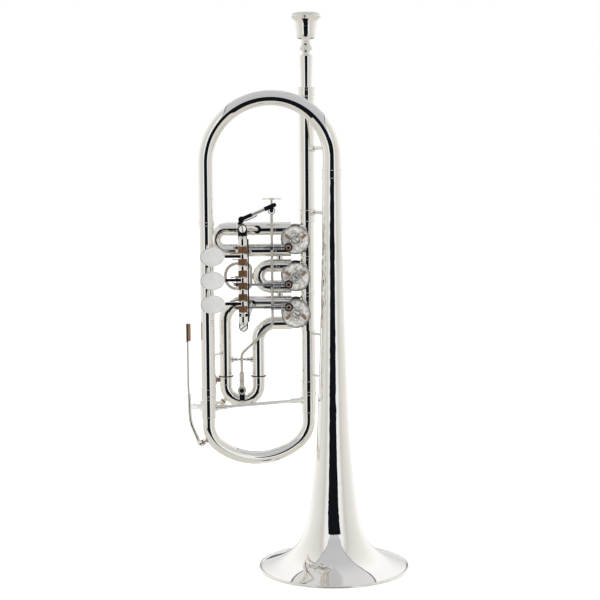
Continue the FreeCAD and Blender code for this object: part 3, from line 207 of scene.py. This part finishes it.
# the same, and the scale of the clouds
GROUND = {
    "satin": ("silver_satin", (0.97, 0.96, 0.945), (0.80, 0.775, 0.73), (0.34, 0.46), 0.16,
              CLOUD_SCALE),
    "touch": ("silver_touch", (0.78, 0.78, 0.77), (0.71, 0.71, 0.70), (0.30, 0.40), 0.30,
              CLOUD_SCALE),
    "plate": ("silver_plates", (0.98, 0.97, 0.95), (0.46, 0.44, 0.40), (0.26, 0.36), 0.10,
              MOTTLE_SCALE),
    "rod": ("silver_drawn", (0.60, 0.56, 0.51), (0.45, 0.41, 0.37), (0.24, 0.32), 0.40,
            CLOUD_SCALE),
    "brushed": ("silver_brushed", (0.82, 0.81, 0.79), (0.22, 0.21, 0.20), (0.24, 0.34), 0.25,
                MOTTLE_SCALE),
}


def polished_metal(name, light, dark, roughness, metallic):
    """Polished metal: faint patches of tint, and wear in the roughness."""
    material, tree, shader = fresh_material(name)
    shader.inputs["Metallic"].default_value = metallic
    place = object_coordinates(tree)
    patches = noise(tree, place, PATCH_SCALE, 4.0)
    tint = ramp(tree, patches, [(0.35, dark), (0.62, light)])
    tree.links.new(tint, shader.inputs["Base Color"])
    wear = noise(tree, place, WEAR_SCALE, 2.0)
    tree.links.new(remapped(tree, wear, target=roughness), shader.inputs["Roughness"])
    return material


def ground_metal(name, light, dark, roughness, metallic, cloud_scale):
    """Fine-ground metal: cloudy handling marks and a short grain in the bump."""
    material, tree, shader = fresh_material(name)
    shader.inputs["Metallic"].default_value = metallic
    place = object_coordinates(tree)
    clouds = noise(tree, place, cloud_scale, 5.0)
    tint = ramp(tree, clouds, [(0.32, dark), (0.60, light)])
    tree.links.new(tint, shader.inputs["Base Color"])
    grain = noise(tree, place, GRAIN_SCALE, 2.0, GRAIN_STRETCH)
    tree.links.new(remapped(tree, grain, target=roughness), shader.inputs["Roughness"])
    bumped(tree, shader, grain, GRAIN_BUMP, GRAIN_HEIGHT)
    return material


def cork_material():
    """Pressed cork: brown grains with dark pores."""
    material, tree, shader = fresh_material("cork_pressed")
    place = object_coordinates(tree)
    cells = add_node(tree, "ShaderNodeTexVoronoi", Scale=CORK_SCALE)
    tree.links.new(place, cells.inputs["Vector"])
    tint = ramp(tree, cells.outputs["Distance"], [(0.05, CORK_PORE), (0.5, CORK_GRAIN)])
    tree.links.new(tint, shader.inputs["Base Color"])
    shader.inputs["Roughness"].default_value = CORK_ROUGHNESS
    bumped(tree, shader, cells.outputs["Distance"], CORK_BUMP, CORK_HEIGHT)
    return material


def make_materials():
    """Every finish by its short name."""
    made = {key: polished_metal(*row) for key, row in POLISHED.items()}
    made.update({key: ground_metal(*row) for key, row in GROUND.items()})
    made["cork"] = cork_material()
    return made


# ---------------------------------------------------------------- studio
def make_camera():
    """The camera of the photograph: a long lens, a little above the middle, looking down."""
    camera = bpy.data.cameras.new("camera")
    camera.lens = CAMERA_LENS
    camera.sensor_width = SENSOR_WIDTH
    camera.clip_end = CLIP_END
    rig = bpy.data.objects.new("camera", camera)
    bpy.context.scene.collection.objects.link(rig)
    pitch = Quaternion((1, 0, 0), math.pi / 2 + CAMERA_PITCH)
    turn = pitch @ Quaternion((0, 0, 1), CAMERA_ROLL)
    rig.matrix_world = Matrix.Translation(CAMERA_PLACE) @ turn.to_matrix().to_4x4()
    bpy.context.scene.camera = rig


def make_world():
    """Soft tent seen by direction: warm walls, brighter behind, over a pale table."""
    world = bpy.data.worlds.new("tent")
    bpy.context.scene.world = world
    world.use_nodes = True
    tree = world.node_tree
    tree.nodes.clear()
    direction = add_node(tree, "ShaderNodeSeparateXYZ")
    tree.links.new(add_node(tree, "ShaderNodeTexCoord").outputs["Generated"], direction.inputs[0])
    forward = calculated(tree, "MULTIPLY", direction.outputs["Y"], -1.0)
    turn = calculated(tree, "ARCTAN2", direction.outputs["X"], forward)
    away = calculated(tree, "ABSOLUTE", turn)
    walls = ramp(tree, calculated(tree, "DIVIDE", away, math.pi), WALL_TINTS)
    lowered = remapped(tree, direction.outputs["Z"], source=TABLE_BLEND,
                       interpolation_type="SMOOTHSTEP")
    shade = mixed(tree, lowered, walls, TABLE_TINT)
    light = add_node(tree, "ShaderNodeBackground")
    tree.links.new(shade, light.inputs["Color"])
    output = add_node(tree, "ShaderNodeOutputWorld")
    tree.links.new(light.outputs["Background"], output.inputs["Surface"])


def glow_material(name, colour):
    """A material that only shines. Returns it, its tree and the shining node."""
    material = bpy.data.materials.new(name)
    material.use_nodes = True
    tree = material.node_tree
    tree.nodes.clear()
    glow = add_node(tree, "ShaderNodeEmission", Strength=1.0)
    glow.inputs["Color"].default_value = (*colour, 1)
    output = add_node(tree, "ShaderNodeOutputMaterial")
    tree.links.new(glow.outputs[0], output.inputs["Surface"])
    return material, tree, glow


def stage_mesh(name, vertices, faces, material):
    """Piece of the studio, which isn't part of the object."""
    mesh = bpy.data.meshes.new(name)
    mesh.from_pydata(vertices, [], faces)
    piece = bpy.data.objects.new(name, mesh)
    bpy.context.scene.collection.objects.link(piece)
    mesh.materials.append(material)
    return piece


def make_card(name, corners, material):
    """Flat panel that only reflections see."""
    card = stage_mesh(name, corners, [(0, 1, 2, 3)], material)
    card.visible_camera = False
    card.visible_diffuse = False
    card.visible_shadow = False


def make_roof():
    """Grey roof whose tint changes from front to back, with a dark seam down each side."""
    cloth, tree, glow = glow_material("roof_cloth", WHITE)
    place = add_node(tree, "ShaderNodeSeparateXYZ")
    tree.links.new(object_coordinates(tree), place.inputs[0])
    share = remapped(tree, place.outputs["Y"], source=(CARD_Y, ROOF_BACK_Y))
    tree.links.new(ramp(tree, share, ROOF_TINTS), glow.inputs["Color"])
    front, back = ROOF_FRONT_SIDES, ROOF_BACK_SIDES
    make_card("roof", strip_corners(front, back, ROOF_Z), cloth)
    dark = glow_material("roof_seam", SEAM_TINT)[0]
    for name, side, step in (("seam_left", 0, SEAM_WIDTH), ("seam_right", 1, -SEAM_WIDTH)):
        near = (front[side], front[side] + step)
        far = (back[side], back[side] + step)
        make_card(name, strip_corners(near, far, ROOF_Z - MM), dark)


def strip_corners(near, far, height):
    """Corners of a level strip over the object, from its front sides to its back sides."""
    return [(near[0], CARD_Y, height), (near[1], CARD_Y, height),
            (far[1], ROOF_BACK_Y, height), (far[0], ROOF_BACK_Y, height)]


def make_floor():
    """Round sheet of white paper."""
    material, tree, shader = fresh_material("floor_paper")
    grain = noise(tree, object_coordinates(tree), CLOUD_SCALE, 5.0)
    tint = ramp(tree, grain, [(0.3, FLOOR_DARK), (0.7, FLOOR_LIGHT)])
    tree.links.new(tint, shader.inputs["Base Color"])
    shader.inputs["Roughness"].default_value = FLOOR_ROUGHNESS
    shader.inputs["Specular IOR Level"].default_value = FLOOR_SPECULAR
    shader.inputs["Emission Color"].default_value = (*WHITE, 1)
    shader.inputs["Emission Strength"].default_value = FLOOR_GLOW
    ring = []
    for i in range(FLOOR_SIDES):
        turn = math.tau * i / FLOOR_SIDES
        ring.append((FLOOR_RADIUS * math.cos(turn), FLOOR_RADIUS * math.sin(turn), 0.0))
    floor = stage_mesh("floor", ring, [tuple(range(FLOOR_SIDES))], material)
    floor.visible_glossy = False


def make_dome():
    """White backdrop all round, seen by the camera only."""
    mesh = bpy.data.meshes.new("backdrop")
    form = bmesh.new()
    bmesh.ops.create_uvsphere(form, u_segments=64, v_segments=32, radius=DOME_RADIUS)
    form.to_mesh(mesh)
    form.free()
    mesh.materials.append(glow_material("backdrop_white", WHITE)[0])
    dome = bpy.data.objects.new("backdrop", mesh)
    bpy.context.scene.collection.objects.link(dome)
    dome.visible_glossy = False
    dome.visible_diffuse = False
    dome.visible_shadow = False


def make_studio():
    """Camera, light, floor, backdrop and the panels that the metal mirrors."""
    make_camera()
    make_world()
    make_floor()
    make_dome()
    black = glow_material("card_black", BLACK_CARD)[0]
    opening = [(x, CARD_Y, z) for x, z in CARD_CORNERS]
    edge = [(x, TABLE_EDGE_Y, TABLE_EDGE_Z) for x in reversed(TABLE_EDGE_SIDES)]
    make_card("opening", opening, black)
    make_card("table_front", opening[:2] + edge, black)
    make_roof()
    back = [(x, BACK_CARD_Y, z) for x, z in BACK_CORNERS]
    make_card("back_strip", back, glow_material("card_grey", GREY_CARD)[0])
    bpy.context.scene.view_settings.view_transform = "Standard"


# ---------------------------------------------------------------- mesh helpers
SHARP_ANGLE = math.radians(38)
COIL_STEPS = 28           # points in one turn of a coil


def in_mm(profile):
    """Pairs of millimetres as metres."""
    return [(along * MM, radius * MM) for along, radius in profile]


def new_piece(name, form, material, body):
    """Finished piece from a bmesh, smooth-shaded, riding on a body."""
    mesh = bpy.data.meshes.new(name)
    bmesh.ops.recalc_face_normals(form, faces=form.faces)
    form.to_mesh(mesh)
    form.free()
    mesh.shade_smooth()
    mesh.set_sharp_from_angle(angle=SHARP_ANGLE)
    mesh.materials.append(material)
    piece = bpy.data.objects.new(name, mesh)
    bpy.context.scene.collection.objects.link(piece)
    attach(piece, body)
    return piece


def close_rings(form, rings, looped=False):
    """Skin between neighbouring rings of vertices, with a flat cap at each end."""
    pairs = list(zip(rings, rings[1:]))
    if looped:
        pairs.append((rings[-1], rings[0]))
    for first, second in pairs:
        for i in range(len(first)):
            j = (i + 1) % len(first)
            form.faces.new((first[i], first[j], second[j], second[i]))
    if not looped:
        form.faces.new(rings[0])
        form.faces.new(tuple(reversed(rings[-1])))


def circle_about(form, centre, across, radius, segments):
    """Ring of vertices round a centre, in the plane of two directions."""
    ring = []
    for i in range(segments):
        turn = math.tau * i / segments
        spoke = across[0] * math.cos(turn) + across[1] * math.sin(turn)
        ring.append(form.verts.new(centre + spoke * radius))
    return ring


def frame_round(axis):
    """Two directions across an axis."""
    axis = axis.normalized()
    side = axis.orthogonal().normalized()
    return side, axis.cross(side)


def add_lathe(form, origin, axis, profile, segments=48, looped=False):
    """Turned shape from (distance along the axis, radius) pairs."""
    across = frame_round(axis)
    way = axis.normalized()
    rings = [circle_about(form, origin + way * along, across, radius, segments)
             for along, radius in profile]
    close_rings(form, rings, looped)


def add_wire(form, points, radius, segments, looped=False):
    """Round wire through points, its frame carried along without twist."""
    side = None
    rings = []
    count = len(points)
    for i, point in enumerate(points):
        before = points[i - 1] if i > 0 or looped else point
        after = points[(i + 1) % count] if i < count - 1 or looped else point
        way = (after - before).normalized()
        if side is None:
            side = way.orthogonal()
        side = (side - way * side.dot(way)).normalized()
        rings.append(circle_about(form, point, (side, way.cross(side)), radius, segments))
    close_rings(form, rings, looped)


def add_block(form, centre, axes, half):
    """Box given by its centre, three directions and three half sizes."""
    corners = []
    for signs in ((-1, -1), (1, -1), (1, 1), (-1, 1)):
        flat = axes[0] * half[0] * signs[0] + axes[1] * half[1] * signs[1]
        ends = [centre + flat + axes[2] * half[2] * end for end in (-1, 1)]
        corners.append([form.verts.new(end) for end in ends])
    close_rings(form, [[corner[0] for corner in corners], [corner[1] for corner in corners]])


def helix(centre, axis, radius, turns, length):
    """Points of a coil centred on a point."""
    side, other = frame_round(axis)
    way = axis.normalized()
    count = turns * COIL_STEPS
    points = []
    for i in range(count + 1):
        turn = math.tau * turns * i / count
        along = length * (i / count - 0.5)
        spoke = side * radius * math.cos(turn) + other * radius * math.sin(turn)
        points.append(centre + way * along + spoke)
    return points


def arc_through(first, middle, last, steps):
    """Points of a smooth bend from first to last that leans towards the middle point."""
    points = []
    for i in range(steps + 1):
        share = i / steps
        rest = 1 - share
        points.append(first * rest ** 2 + middle * 2 * share * rest + last * share ** 2)
    return points


def middle_of(node):
    """Centre of a CAD node's box."""
    low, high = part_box(node)
    return (low + high) / 2


# ---------------------------------------------------------------- the object: CAD nodes
VALVES = ("1", "2", "3")
# how a node's name starts, and its finish; every other node is polished silver
NODE_FINISH = (
    ("bearing_plates", "plate"), ("stop_arm_", "brushed"), ("finger_plate_", "touch"),
    ("carrier_screws", "satin"), ("lever_springs", "bronze"), ("trigger_spring", "bronze"),
    ("stop_corks", "cork"), ("main_key_corks", "cork"), ("slide_3_key_cork", "cork"),
    ("main_key_bracket", "satin"), ("slide_3_key_bracket", "copper"),
    ("trigger_rod", "rod"), ("finger_ring", "rod"), ("link_rod_", "steel"), ("rotor_", "brass"),
)


def dress_cad_nodes(frame, materials):
    """Gives every CAD node its finish."""
    for node, piece in frame["nodes"].items():
        finish = [look for start, look in NODE_FINISH if node.startswith(start)]
        piece.data.materials.clear()
        piece.data.materials.append(materials[finish[0] if finish else "silver"])


# ---------------------------------------------------------------- valve section details
FORWARD = Vector((0, -1, 0))
LEFTWARD = Vector((-1, 0, 0))
UP = Vector((0, 0, 1))

BEAD_SINK = 0.02 * MM       # a bead's foot stands this far inside its face
PLATE_RINGS = ((0.42, 0.34), (2.1, 0.16), (7.3, 0.14))      # inset from the edge, half width
# painted shade: dark lines where the plate's grooves and its rounded edge lie in shade; inset, half
# width
PLATE_SHADE_LINES = ((1.15, 0.22), (6.6, 0.12), (0.02, 0.12))
PLATE_RING_HEIGHT = 0.18 * MM
PLATE_SHADE_LINE_HEIGHT = 0.07 * MM
# radii of dark lines of painted shade in the rings of a stop arm's hub
HUB_SHADE_RINGS = (3.75, 3.3)
HUB_FACE = 0.75 * MM        # a stop arm's hub stands this far before its rotor
STOP_SLOT_FLOOR = 1.30 * MM     # and so far, the floor of its screw's slot
CARRIER_SLOT_FLOOR = 0.55 * MM  # behind the front of the carrier's screws
# a slot's length, width and turn in degrees
STOP_SLOT = (5.6, 0.66, -35)
CARRIER_TOP_SLOT = (5.7, 0.76, -80)
CARRIER_FOOT_SLOT = (5.7, 0.76, 35)

EYE_RADIUS = 3.65 * MM      # round eye of a link rod
ROD_INSET = 2.6 * MM        # a link rod's axis lies this far behind its front
SOCKET_HALF = 1.9 * MM      # half the eye's thickness
RIVET_LIFT = 0.35 * MM
CENTRE_LIFT = 0.75 * MM
SLEEVE_END = 14 * MM        # from the eye to the outer end of the rod's sleeve
SLEEVE_HALF = 4.6 * MM
THREAD_START = 1.9
THREAD_END = 8.5
THREAD_PITCH = 0.55
THREAD_TURNS = 12
THREAD_ROOT = 1.12
THREAD_CREST = 1.38
# turned outlines: millimetres along the axis, and radius
# painted shade: a dark ring in the gap between the ball and its socket
SOCKET_SHADE_RING = ((-0.2, 2.55), (0.25, 2.6), (0.42, 2.95), (0.3, 3.3), (-0.2, 3.5))
RIVET_DOME = ((-0.5, 2.3), (0.1, 2.3), (0.4, 2.0), (0.55, 1.4), (0.6, 0.75), (0.45, 0.7))
# painted shade: a dark dot in the rivet's centre mark
RIVET_CENTRE_SHADE = ((0, 0.72), (0.18, 0.6))
LOCK_NUT = ((-0.1, 2.0), (0.15, 2.75), (1.7, 2.75), (1.95, 2.0))
JOINT_RING = ((-0.95, 5.05), (-0.95, 6.75), (-0.75, 7.05), (-0.35, 7.05), (-0.12, 6.75),
              (-0.12, 5.05))
# a tube's bead: along, and height over the tube
TUBE_BEAD = ((-0.4, -0.03), (-0.2, 0.22), (0.2, 0.22), (0.4, -0.03))

BEADS_AT_VALVES = (1.2, 3.4)    # in from the outer tubes' ends at the valves
BEADS_AT_ENDS = (0.7, 2.0)      # in from their free ends
SLIDE_3_LEFT_LEG = 6.1 * MM     # leg axes, in from the third slide's sides
SLIDE_3_RIGHT_LEG = 6.2 * MM

PLATE_TILT = math.radians(18)   # a finger plate's turn about the upright
PLATE_HALF_WIDTH = 10.55 * MM
PLATE_EDGE_INSET = 0.1 * MM
PLATE_EDGE_LIFT = 0.35 * MM
PLATE_EDGE_WIRE = 0.30 * MM
PLATE_EDGE_POINTS = 96

LEG_WIRE = 0.42 * MM
LEG_START = (-3.4, -1.6)        # from the lever shaft, across and in depth
LEG_BEND = (-5.5, -2.6)
LEG_END_DEPTH = -3.3
LEG_REACHES = ((1, 10.5), (-1, 9.0))    # above and below a finger plate's middle
LEG_RISE = 3.0 * MM
LEG_DROP = 0.9 * MM
COIL_WIRE = 0.42 * MM
COIL_RADIUS = 2.05 * MM
COIL_TURNS = 4
COIL_LENGTH = 2.6 * MM
TRIGGER_LEG_WIRE = 0.45 * MM
# start, bend and end of the trigger spring's free end, from the coil's middle
TRIGGER_LEG = ((0, -1.2, -2.1), (5.0, -3.4, -1.6), (14.2, -4.8, 3.3))

CAP_TEETH = 96
CAP_KNURL = ((0.7, 0.0), (1.1, 0.28), (4.2, 0.28), (4.6, 0.0))    # along, height
CAP_SINK = 0.06 * MM        # the knurl's root lies this far inside the cap
CAP_RINGS = (5.4, 4.2, 1.6)
NUT_TEETH = 28
NUT_KNURL = ((0.0, 0.0), (0.3, 0.22), (1.5, 0.22), (1.8, 0.0))
NUT_RADIUS = 2.97 * MM
NUT_LOW_INSET = 0.25 * MM
NUT_HIGH_INSET = 2.05 * MM


def add_bead(form, origin, axis, radius, width, height, segments=96):
    """Raised rounded ring on a flat face."""
    outline = [(-BEAD_SINK, radius - width), (height, radius - width * 0.4),
               (height, radius + width * 0.4), (-BEAD_SINK, radius + width)]
    add_lathe(form, origin, axis, outline, segments, True)


def hub_point(valve, before):
    """Point on a rotor's axis, this far in front of the rotor."""
    spindle = middle_of("rotor_" + valve)
    return Vector((spindle.x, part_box("rotor_" + valve)[0].y - before, spindle.z))


def plate_details(valve, materials):
    """Turned rings on a valve's bearing plate; dark lines of painted shade for the plate's grooves
    and edge, and for the rings on the hub of its stop arm.
    """
    spindle = middle_of("rotor_" + valve)
    low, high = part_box("bearing_plates")
    edge = (high.x - low.x) / 2
    centre = Vector((spindle.x, low.y, spindle.z))
    form = bmesh.new()
    for inset, width in PLATE_RINGS:
        add_bead(form, centre, FORWARD, edge - inset * MM, width * MM, PLATE_RING_HEIGHT)
    new_piece("plate_rings_" + valve, form, materials["silver"], "horn")
    # painted shade: dark lines for the plate's grooves and its rounded edge
    form = bmesh.new()
    for inset, width in PLATE_SHADE_LINES:
        add_bead(form, centre, FORWARD, edge - inset * MM, width * MM, PLATE_SHADE_LINE_HEIGHT)
    new_piece("plate_shade_lines_" + valve, form, materials["dark"], "horn")
    # painted shade: dark lines for the rings on the stop arm's hub
    form = bmesh.new()
    for radius in HUB_SHADE_RINGS:
        add_bead(form, hub_point(valve, HUB_FACE), FORWARD, radius * MM, width=0.14 * MM,
                 height=0.12 * MM, segments=48)
    new_piece("hub_shade_rings_" + valve, form, materials["dark"], "rotor_" + valve)


def ball_joint_details(valve, materials):
    """Socket ring of painted shade round the ball, with dark lines of painted shade on the eye's
    edges; the rivet with a dark dot of painted shade for its centre mark; and the lock nut and
    thread of a link rod.
    """
    body = "link_rod_" + valve
    low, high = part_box(body)
    eye = Vector((high.x - EYE_RADIUS, low.y + ROD_INSET, (low.z + high.z) / 2))
    face = eye + FORWARD * SOCKET_HALF
    # dark ring and bands of painted shade, in the socket's gap and along the eye's edges
    form = bmesh.new()
    add_lathe(form, face, FORWARD, in_mm(SOCKET_SHADE_RING), 64, True)
    for inset in (-2.9, -0.9):
        band = [(inset - 0.14, 3.6), (inset, 3.8), (inset + 0.14, 3.6)]
        add_lathe(form, face, FORWARD, in_mm(band), 64, True)
    new_piece("ball_socket_shade_" + valve, form, materials["dark"], body)
    form = bmesh.new()
    add_lathe(form, face + FORWARD * RIVET_LIFT, FORWARD, in_mm(RIVET_DOME), 48)
    new_piece("ball_rivet_" + valve, form, materials["copper"], "rotor_" + valve)
    # dark dot of painted shade in the rivet's centre
    form = bmesh.new()
    add_lathe(form, face + FORWARD * CENTRE_LIFT, FORWARD, in_mm(RIVET_CENTRE_SHADE), 24)
    new_piece("ball_centre_shade_" + valve, form, materials["dark"], "rotor_" + valve)
    sleeve_end = eye + LEFTWARD * SLEEVE_END
    form = bmesh.new()
    add_lathe(form, sleeve_end, LEFTWARD, in_mm(LOCK_NUT), 6)
    new_piece("lock_nut_" + valve, form, materials["steel"], body)
    form = bmesh.new()
    thread = []
    for turn in range(THREAD_TURNS):
        along = THREAD_START + turn * THREAD_PITCH
        thread += [(along, THREAD_ROOT), (along + THREAD_PITCH / 2, THREAD_CREST)]
    thread.append((THREAD_END, THREAD_ROOT))
    add_lathe(form, sleeve_end, LEFTWARD, in_mm(thread), 24)
    new_piece("rod_thread_" + valve, form, materials["steel"], body)
    form = bmesh.new()
    sleeve_middle = sleeve_end - LEFTWARD * SLEEVE_HALF
    for along in (-3.4, 3.6):
        band = [(along - 0.3, 2.15), (along - 0.2, 2.32), (along + 0.2, 2.32), (along + 0.3, 2.15)]
        add_lathe(form, sleeve_middle, LEFTWARD, in_mm(band), 40, True)
    new_piece("sleeve_bands_" + valve, form, materials["silver"], body)


def slot_shade_strip(name, centre, size, material, body):
    """Painted shade: a dark strip at the bottom of a screw's slot, just proud of the slot's floor.
    """
    length, width, angle = size
    turn = math.radians(angle)
    side = Vector((math.cos(turn), 0, math.sin(turn)))
    axes = (side, side.cross(FORWARD), FORWARD)
    form = bmesh.new()
    add_block(form, centre, axes, (length * MM / 2, width * MM / 2, 0.06 * MM))
    new_piece(name, form, material, body)


def screw_slot_shades(materials):
    """Painted shade: dark floors in the slots of the stop screws and the carrier's two screws, and
    a dark ring round each carrier screw's foot.
    """
    dark = materials["dark"]
    for valve in VALVES:
        floor = hub_point(valve, STOP_SLOT_FLOOR)
        slot_shade_strip("stop_slot_shade_" + valve, floor, STOP_SLOT, dark, "rotor_" + valve)
    low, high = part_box("carrier_screws")
    radius = (high.x - low.x) / 2
    for name, z, size in (("top", high.z - radius, CARRIER_TOP_SLOT),
                          ("foot", low.z + radius, CARRIER_FOOT_SLOT)):
        floor = Vector(((low.x + high.x) / 2, low.y + CARRIER_SLOT_FLOOR, z))
        slot_shade_strip("carrier_slot_shade_" + name, floor, size, dark, "horn")
        # painted shade: a dark ring where the screw meets the carrier
        form = bmesh.new()
        foot = Vector((floor.x, high.y, z))
        add_bead(form, foot, FORWARD, radius + 0.35 * MM, width=0.3 * MM, height=0.2 * MM,
                 segments=64)
        new_piece("carrier_shade_ring_" + name, form, dark, "horn")


def finger_plate_bead(valve, materials):
    """Rolled edge round a finger plate's front."""
    low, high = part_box("finger_plate_" + valve)
    centre = (low + high) / 2
    across = Vector((math.cos(PLATE_TILT), math.sin(PLATE_TILT), 0))
    normal = Vector((math.sin(PLATE_TILT), -math.cos(PLATE_TILT), 0))
    half_high = (high.z - low.z) / 2 - PLATE_EDGE_INSET
    points = []
    for i in range(PLATE_EDGE_POINTS):
        turn = math.tau * i / PLATE_EDGE_POINTS
        flat = across * math.cos(turn) * PLATE_HALF_WIDTH + UP * math.sin(turn) * half_high
        points.append(centre + flat + normal * PLATE_EDGE_LIFT)
    form = bmesh.new()
    add_wire(form, points, PLATE_EDGE_WIRE, 8, True)
    new_piece("finger_edge_" + valve, form, materials["silver"], "lever_" + valve)


def spring_legs(materials):
    """Straight ends of the lever springs, hooked behind the sleeves and over the levers."""
    low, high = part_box("shaft_nuts_and_sleeves")
    shaft = Vector(((low.x + high.x) / 2, (low.y + high.y) / 2, 0))
    form = bmesh.new()
    for valve in VALVES:
        lever = middle_of("finger_plate_" + valve)
        for hand, reach in LEG_REACHES:
            height = lever.z + hand * LEG_RISE
            start = shaft + Vector((LEG_START[0] * MM, LEG_START[1] * MM, height))
            bend = shaft + Vector((LEG_BEND[0] * MM, LEG_BEND[1] * MM, height))
            end = shaft + Vector((-reach * MM, LEG_END_DEPTH * MM, height - hand * LEG_DROP))
            add_wire(form, arc_through(start, bend, end, 8), LEG_WIRE, 10)
    new_piece("spring_legs", form, materials["bronze"], "horn")


# ---------------------------------------------------------------- other details
def slide_end_rings(materials):
    """Turned beads round the outer tubes, where they enter the valves and where they end."""
    for node in ("slide_1_outer_tubes", "slide_2_outer_tubes"):
        low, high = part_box(node)
        radius = (high.y - low.y) / 2
        ring = [(along * MM, radius + height * MM) for along, height in TUBE_BEAD]
        form = bmesh.new()
        places = [high.x - inset * MM for inset in BEADS_AT_VALVES]
        places += [low.x + inset * MM for inset in BEADS_AT_ENDS]
        for x in places:
            for z in (low.z + radius, high.z - radius):
                origin = Vector((x, (low.y + high.y) / 2, z))
                add_lathe(form, origin, -LEFTWARD, ring, 64, True)
        new_piece(node.replace("outer_tubes", "beads"), form, materials["silver"], "horn")


def third_slide_joints(materials):
    """Dark open joints where the third slide's bow meets its outer tubes."""
    low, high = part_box("slide_3")
    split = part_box("slide_3_outer_tubes")[0].z
    depth = middle_of("slide_3_outer_tubes").y
    form = bmesh.new()
    for x in (low.x + SLIDE_3_LEFT_LEG, high.x - SLIDE_3_RIGHT_LEG):
        add_lathe(form, Vector((x, depth, split)), UP, in_mm(JOINT_RING), 64, True)
    new_piece("slide_3_joints", form, materials["dark"], "third_slide")


def trigger_spring(materials):
    """The trigger's spring: a wound coil, and its free end resting under the arm."""
    centre = middle_of("trigger_spring")
    start, bend, end = [centre + Vector(point) * MM for point in TRIGGER_LEG]
    form = bmesh.new()
    add_wire(form, arc_through(start, bend, end, 14), TRIGGER_LEG_WIRE, 12)
    new_piece("trigger_spring_leg", form, materials["bronze"], "trigger")
    form = bmesh.new()
    coil = helix(centre, -FORWARD, COIL_RADIUS, COIL_TURNS, COIL_LENGTH)
    add_wire(form, coil, COIL_WIRE, 10)
    wound = new_piece("trigger_coil", form, materials["bronze"], "horn")
    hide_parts("trigger_spring")


def toothed_ring(form, centre, axes, radius, height, teeth):
    """Ring of vertices that rises by a height at every other one."""
    ring = []
    for i in range(teeth * 2):
        turn = math.tau * i / (teeth * 2)
        reach = radius + (height if i % 2 else 0.0)
        spoke = axes[0] * reach * math.cos(turn) + axes[1] * reach * math.sin(turn)
        ring.append(form.verts.new(centre + spoke))
    return ring


def knurled_caps(materials):
    """Knurled band and turned rings on each back cap."""
    low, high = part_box("back_caps")
    radius = (high.x - low.x) / 2 - CAP_SINK
    for valve in VALVES:
        spindle = middle_of("rotor_" + valve)
        form = bmesh.new()
        rings = []
        for along, height in CAP_KNURL:
            centre = Vector((spindle.x, low.y + along * MM, spindle.z))
            rings.append(toothed_ring(form, centre, (-LEFTWARD, UP), radius, height * MM,
                                      CAP_TEETH))
        close_rings(form, rings)
        new_piece("cap_knurl_" + valve, form, materials["silver"], "horn")
        form = bmesh.new()
        face = Vector((spindle.x, high.y - 0.2 * MM, spindle.z))
        for ring_radius in CAP_RINGS:
            add_bead(form, face, -FORWARD, ring_radius * MM, width=0.16 * MM, height=0.2 * MM,
                     segments=72)
        new_piece("cap_rings_" + valve, form, materials["silver"], "horn")


def knurled_nuts(materials):
    """Knurled edges of the nuts on the lever shaft's ends."""
    low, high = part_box("shaft_nuts_and_sleeves")
    form = bmesh.new()
    for base in (low.z + NUT_LOW_INSET, high.z - NUT_HIGH_INSET):
        rings = []
        for along, height in NUT_KNURL:
            centre = Vector(((low.x + high.x) / 2, (low.y + high.y) / 2, base + along * MM))
            rings.append(toothed_ring(form, centre, (-LEFTWARD, -FORWARD), NUT_RADIUS,
                                      height * MM, NUT_TEETH))
        close_rings(form, rings)
    new_piece("nut_knurls", form, materials["silver"], "horn")


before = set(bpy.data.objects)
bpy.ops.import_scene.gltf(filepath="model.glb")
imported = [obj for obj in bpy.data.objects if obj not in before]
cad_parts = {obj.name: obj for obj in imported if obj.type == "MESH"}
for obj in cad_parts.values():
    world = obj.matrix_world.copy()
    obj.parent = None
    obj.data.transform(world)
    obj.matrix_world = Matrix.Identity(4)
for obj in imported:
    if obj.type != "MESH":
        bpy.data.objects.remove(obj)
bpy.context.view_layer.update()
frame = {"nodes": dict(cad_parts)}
make_studio()
finishes = make_materials()
dress_cad_nodes(frame, finishes)
for valve in VALVES:
    plate_details(valve, finishes)
    ball_joint_details(valve, finishes)
    finger_plate_bead(valve, finishes)
screw_slot_shades(finishes)
slide_end_rings(finishes)
third_slide_joints(finishes)
spring_legs(finishes)
trigger_spring(finishes)
knurled_caps(finishes)
knurled_nuts(finishes)
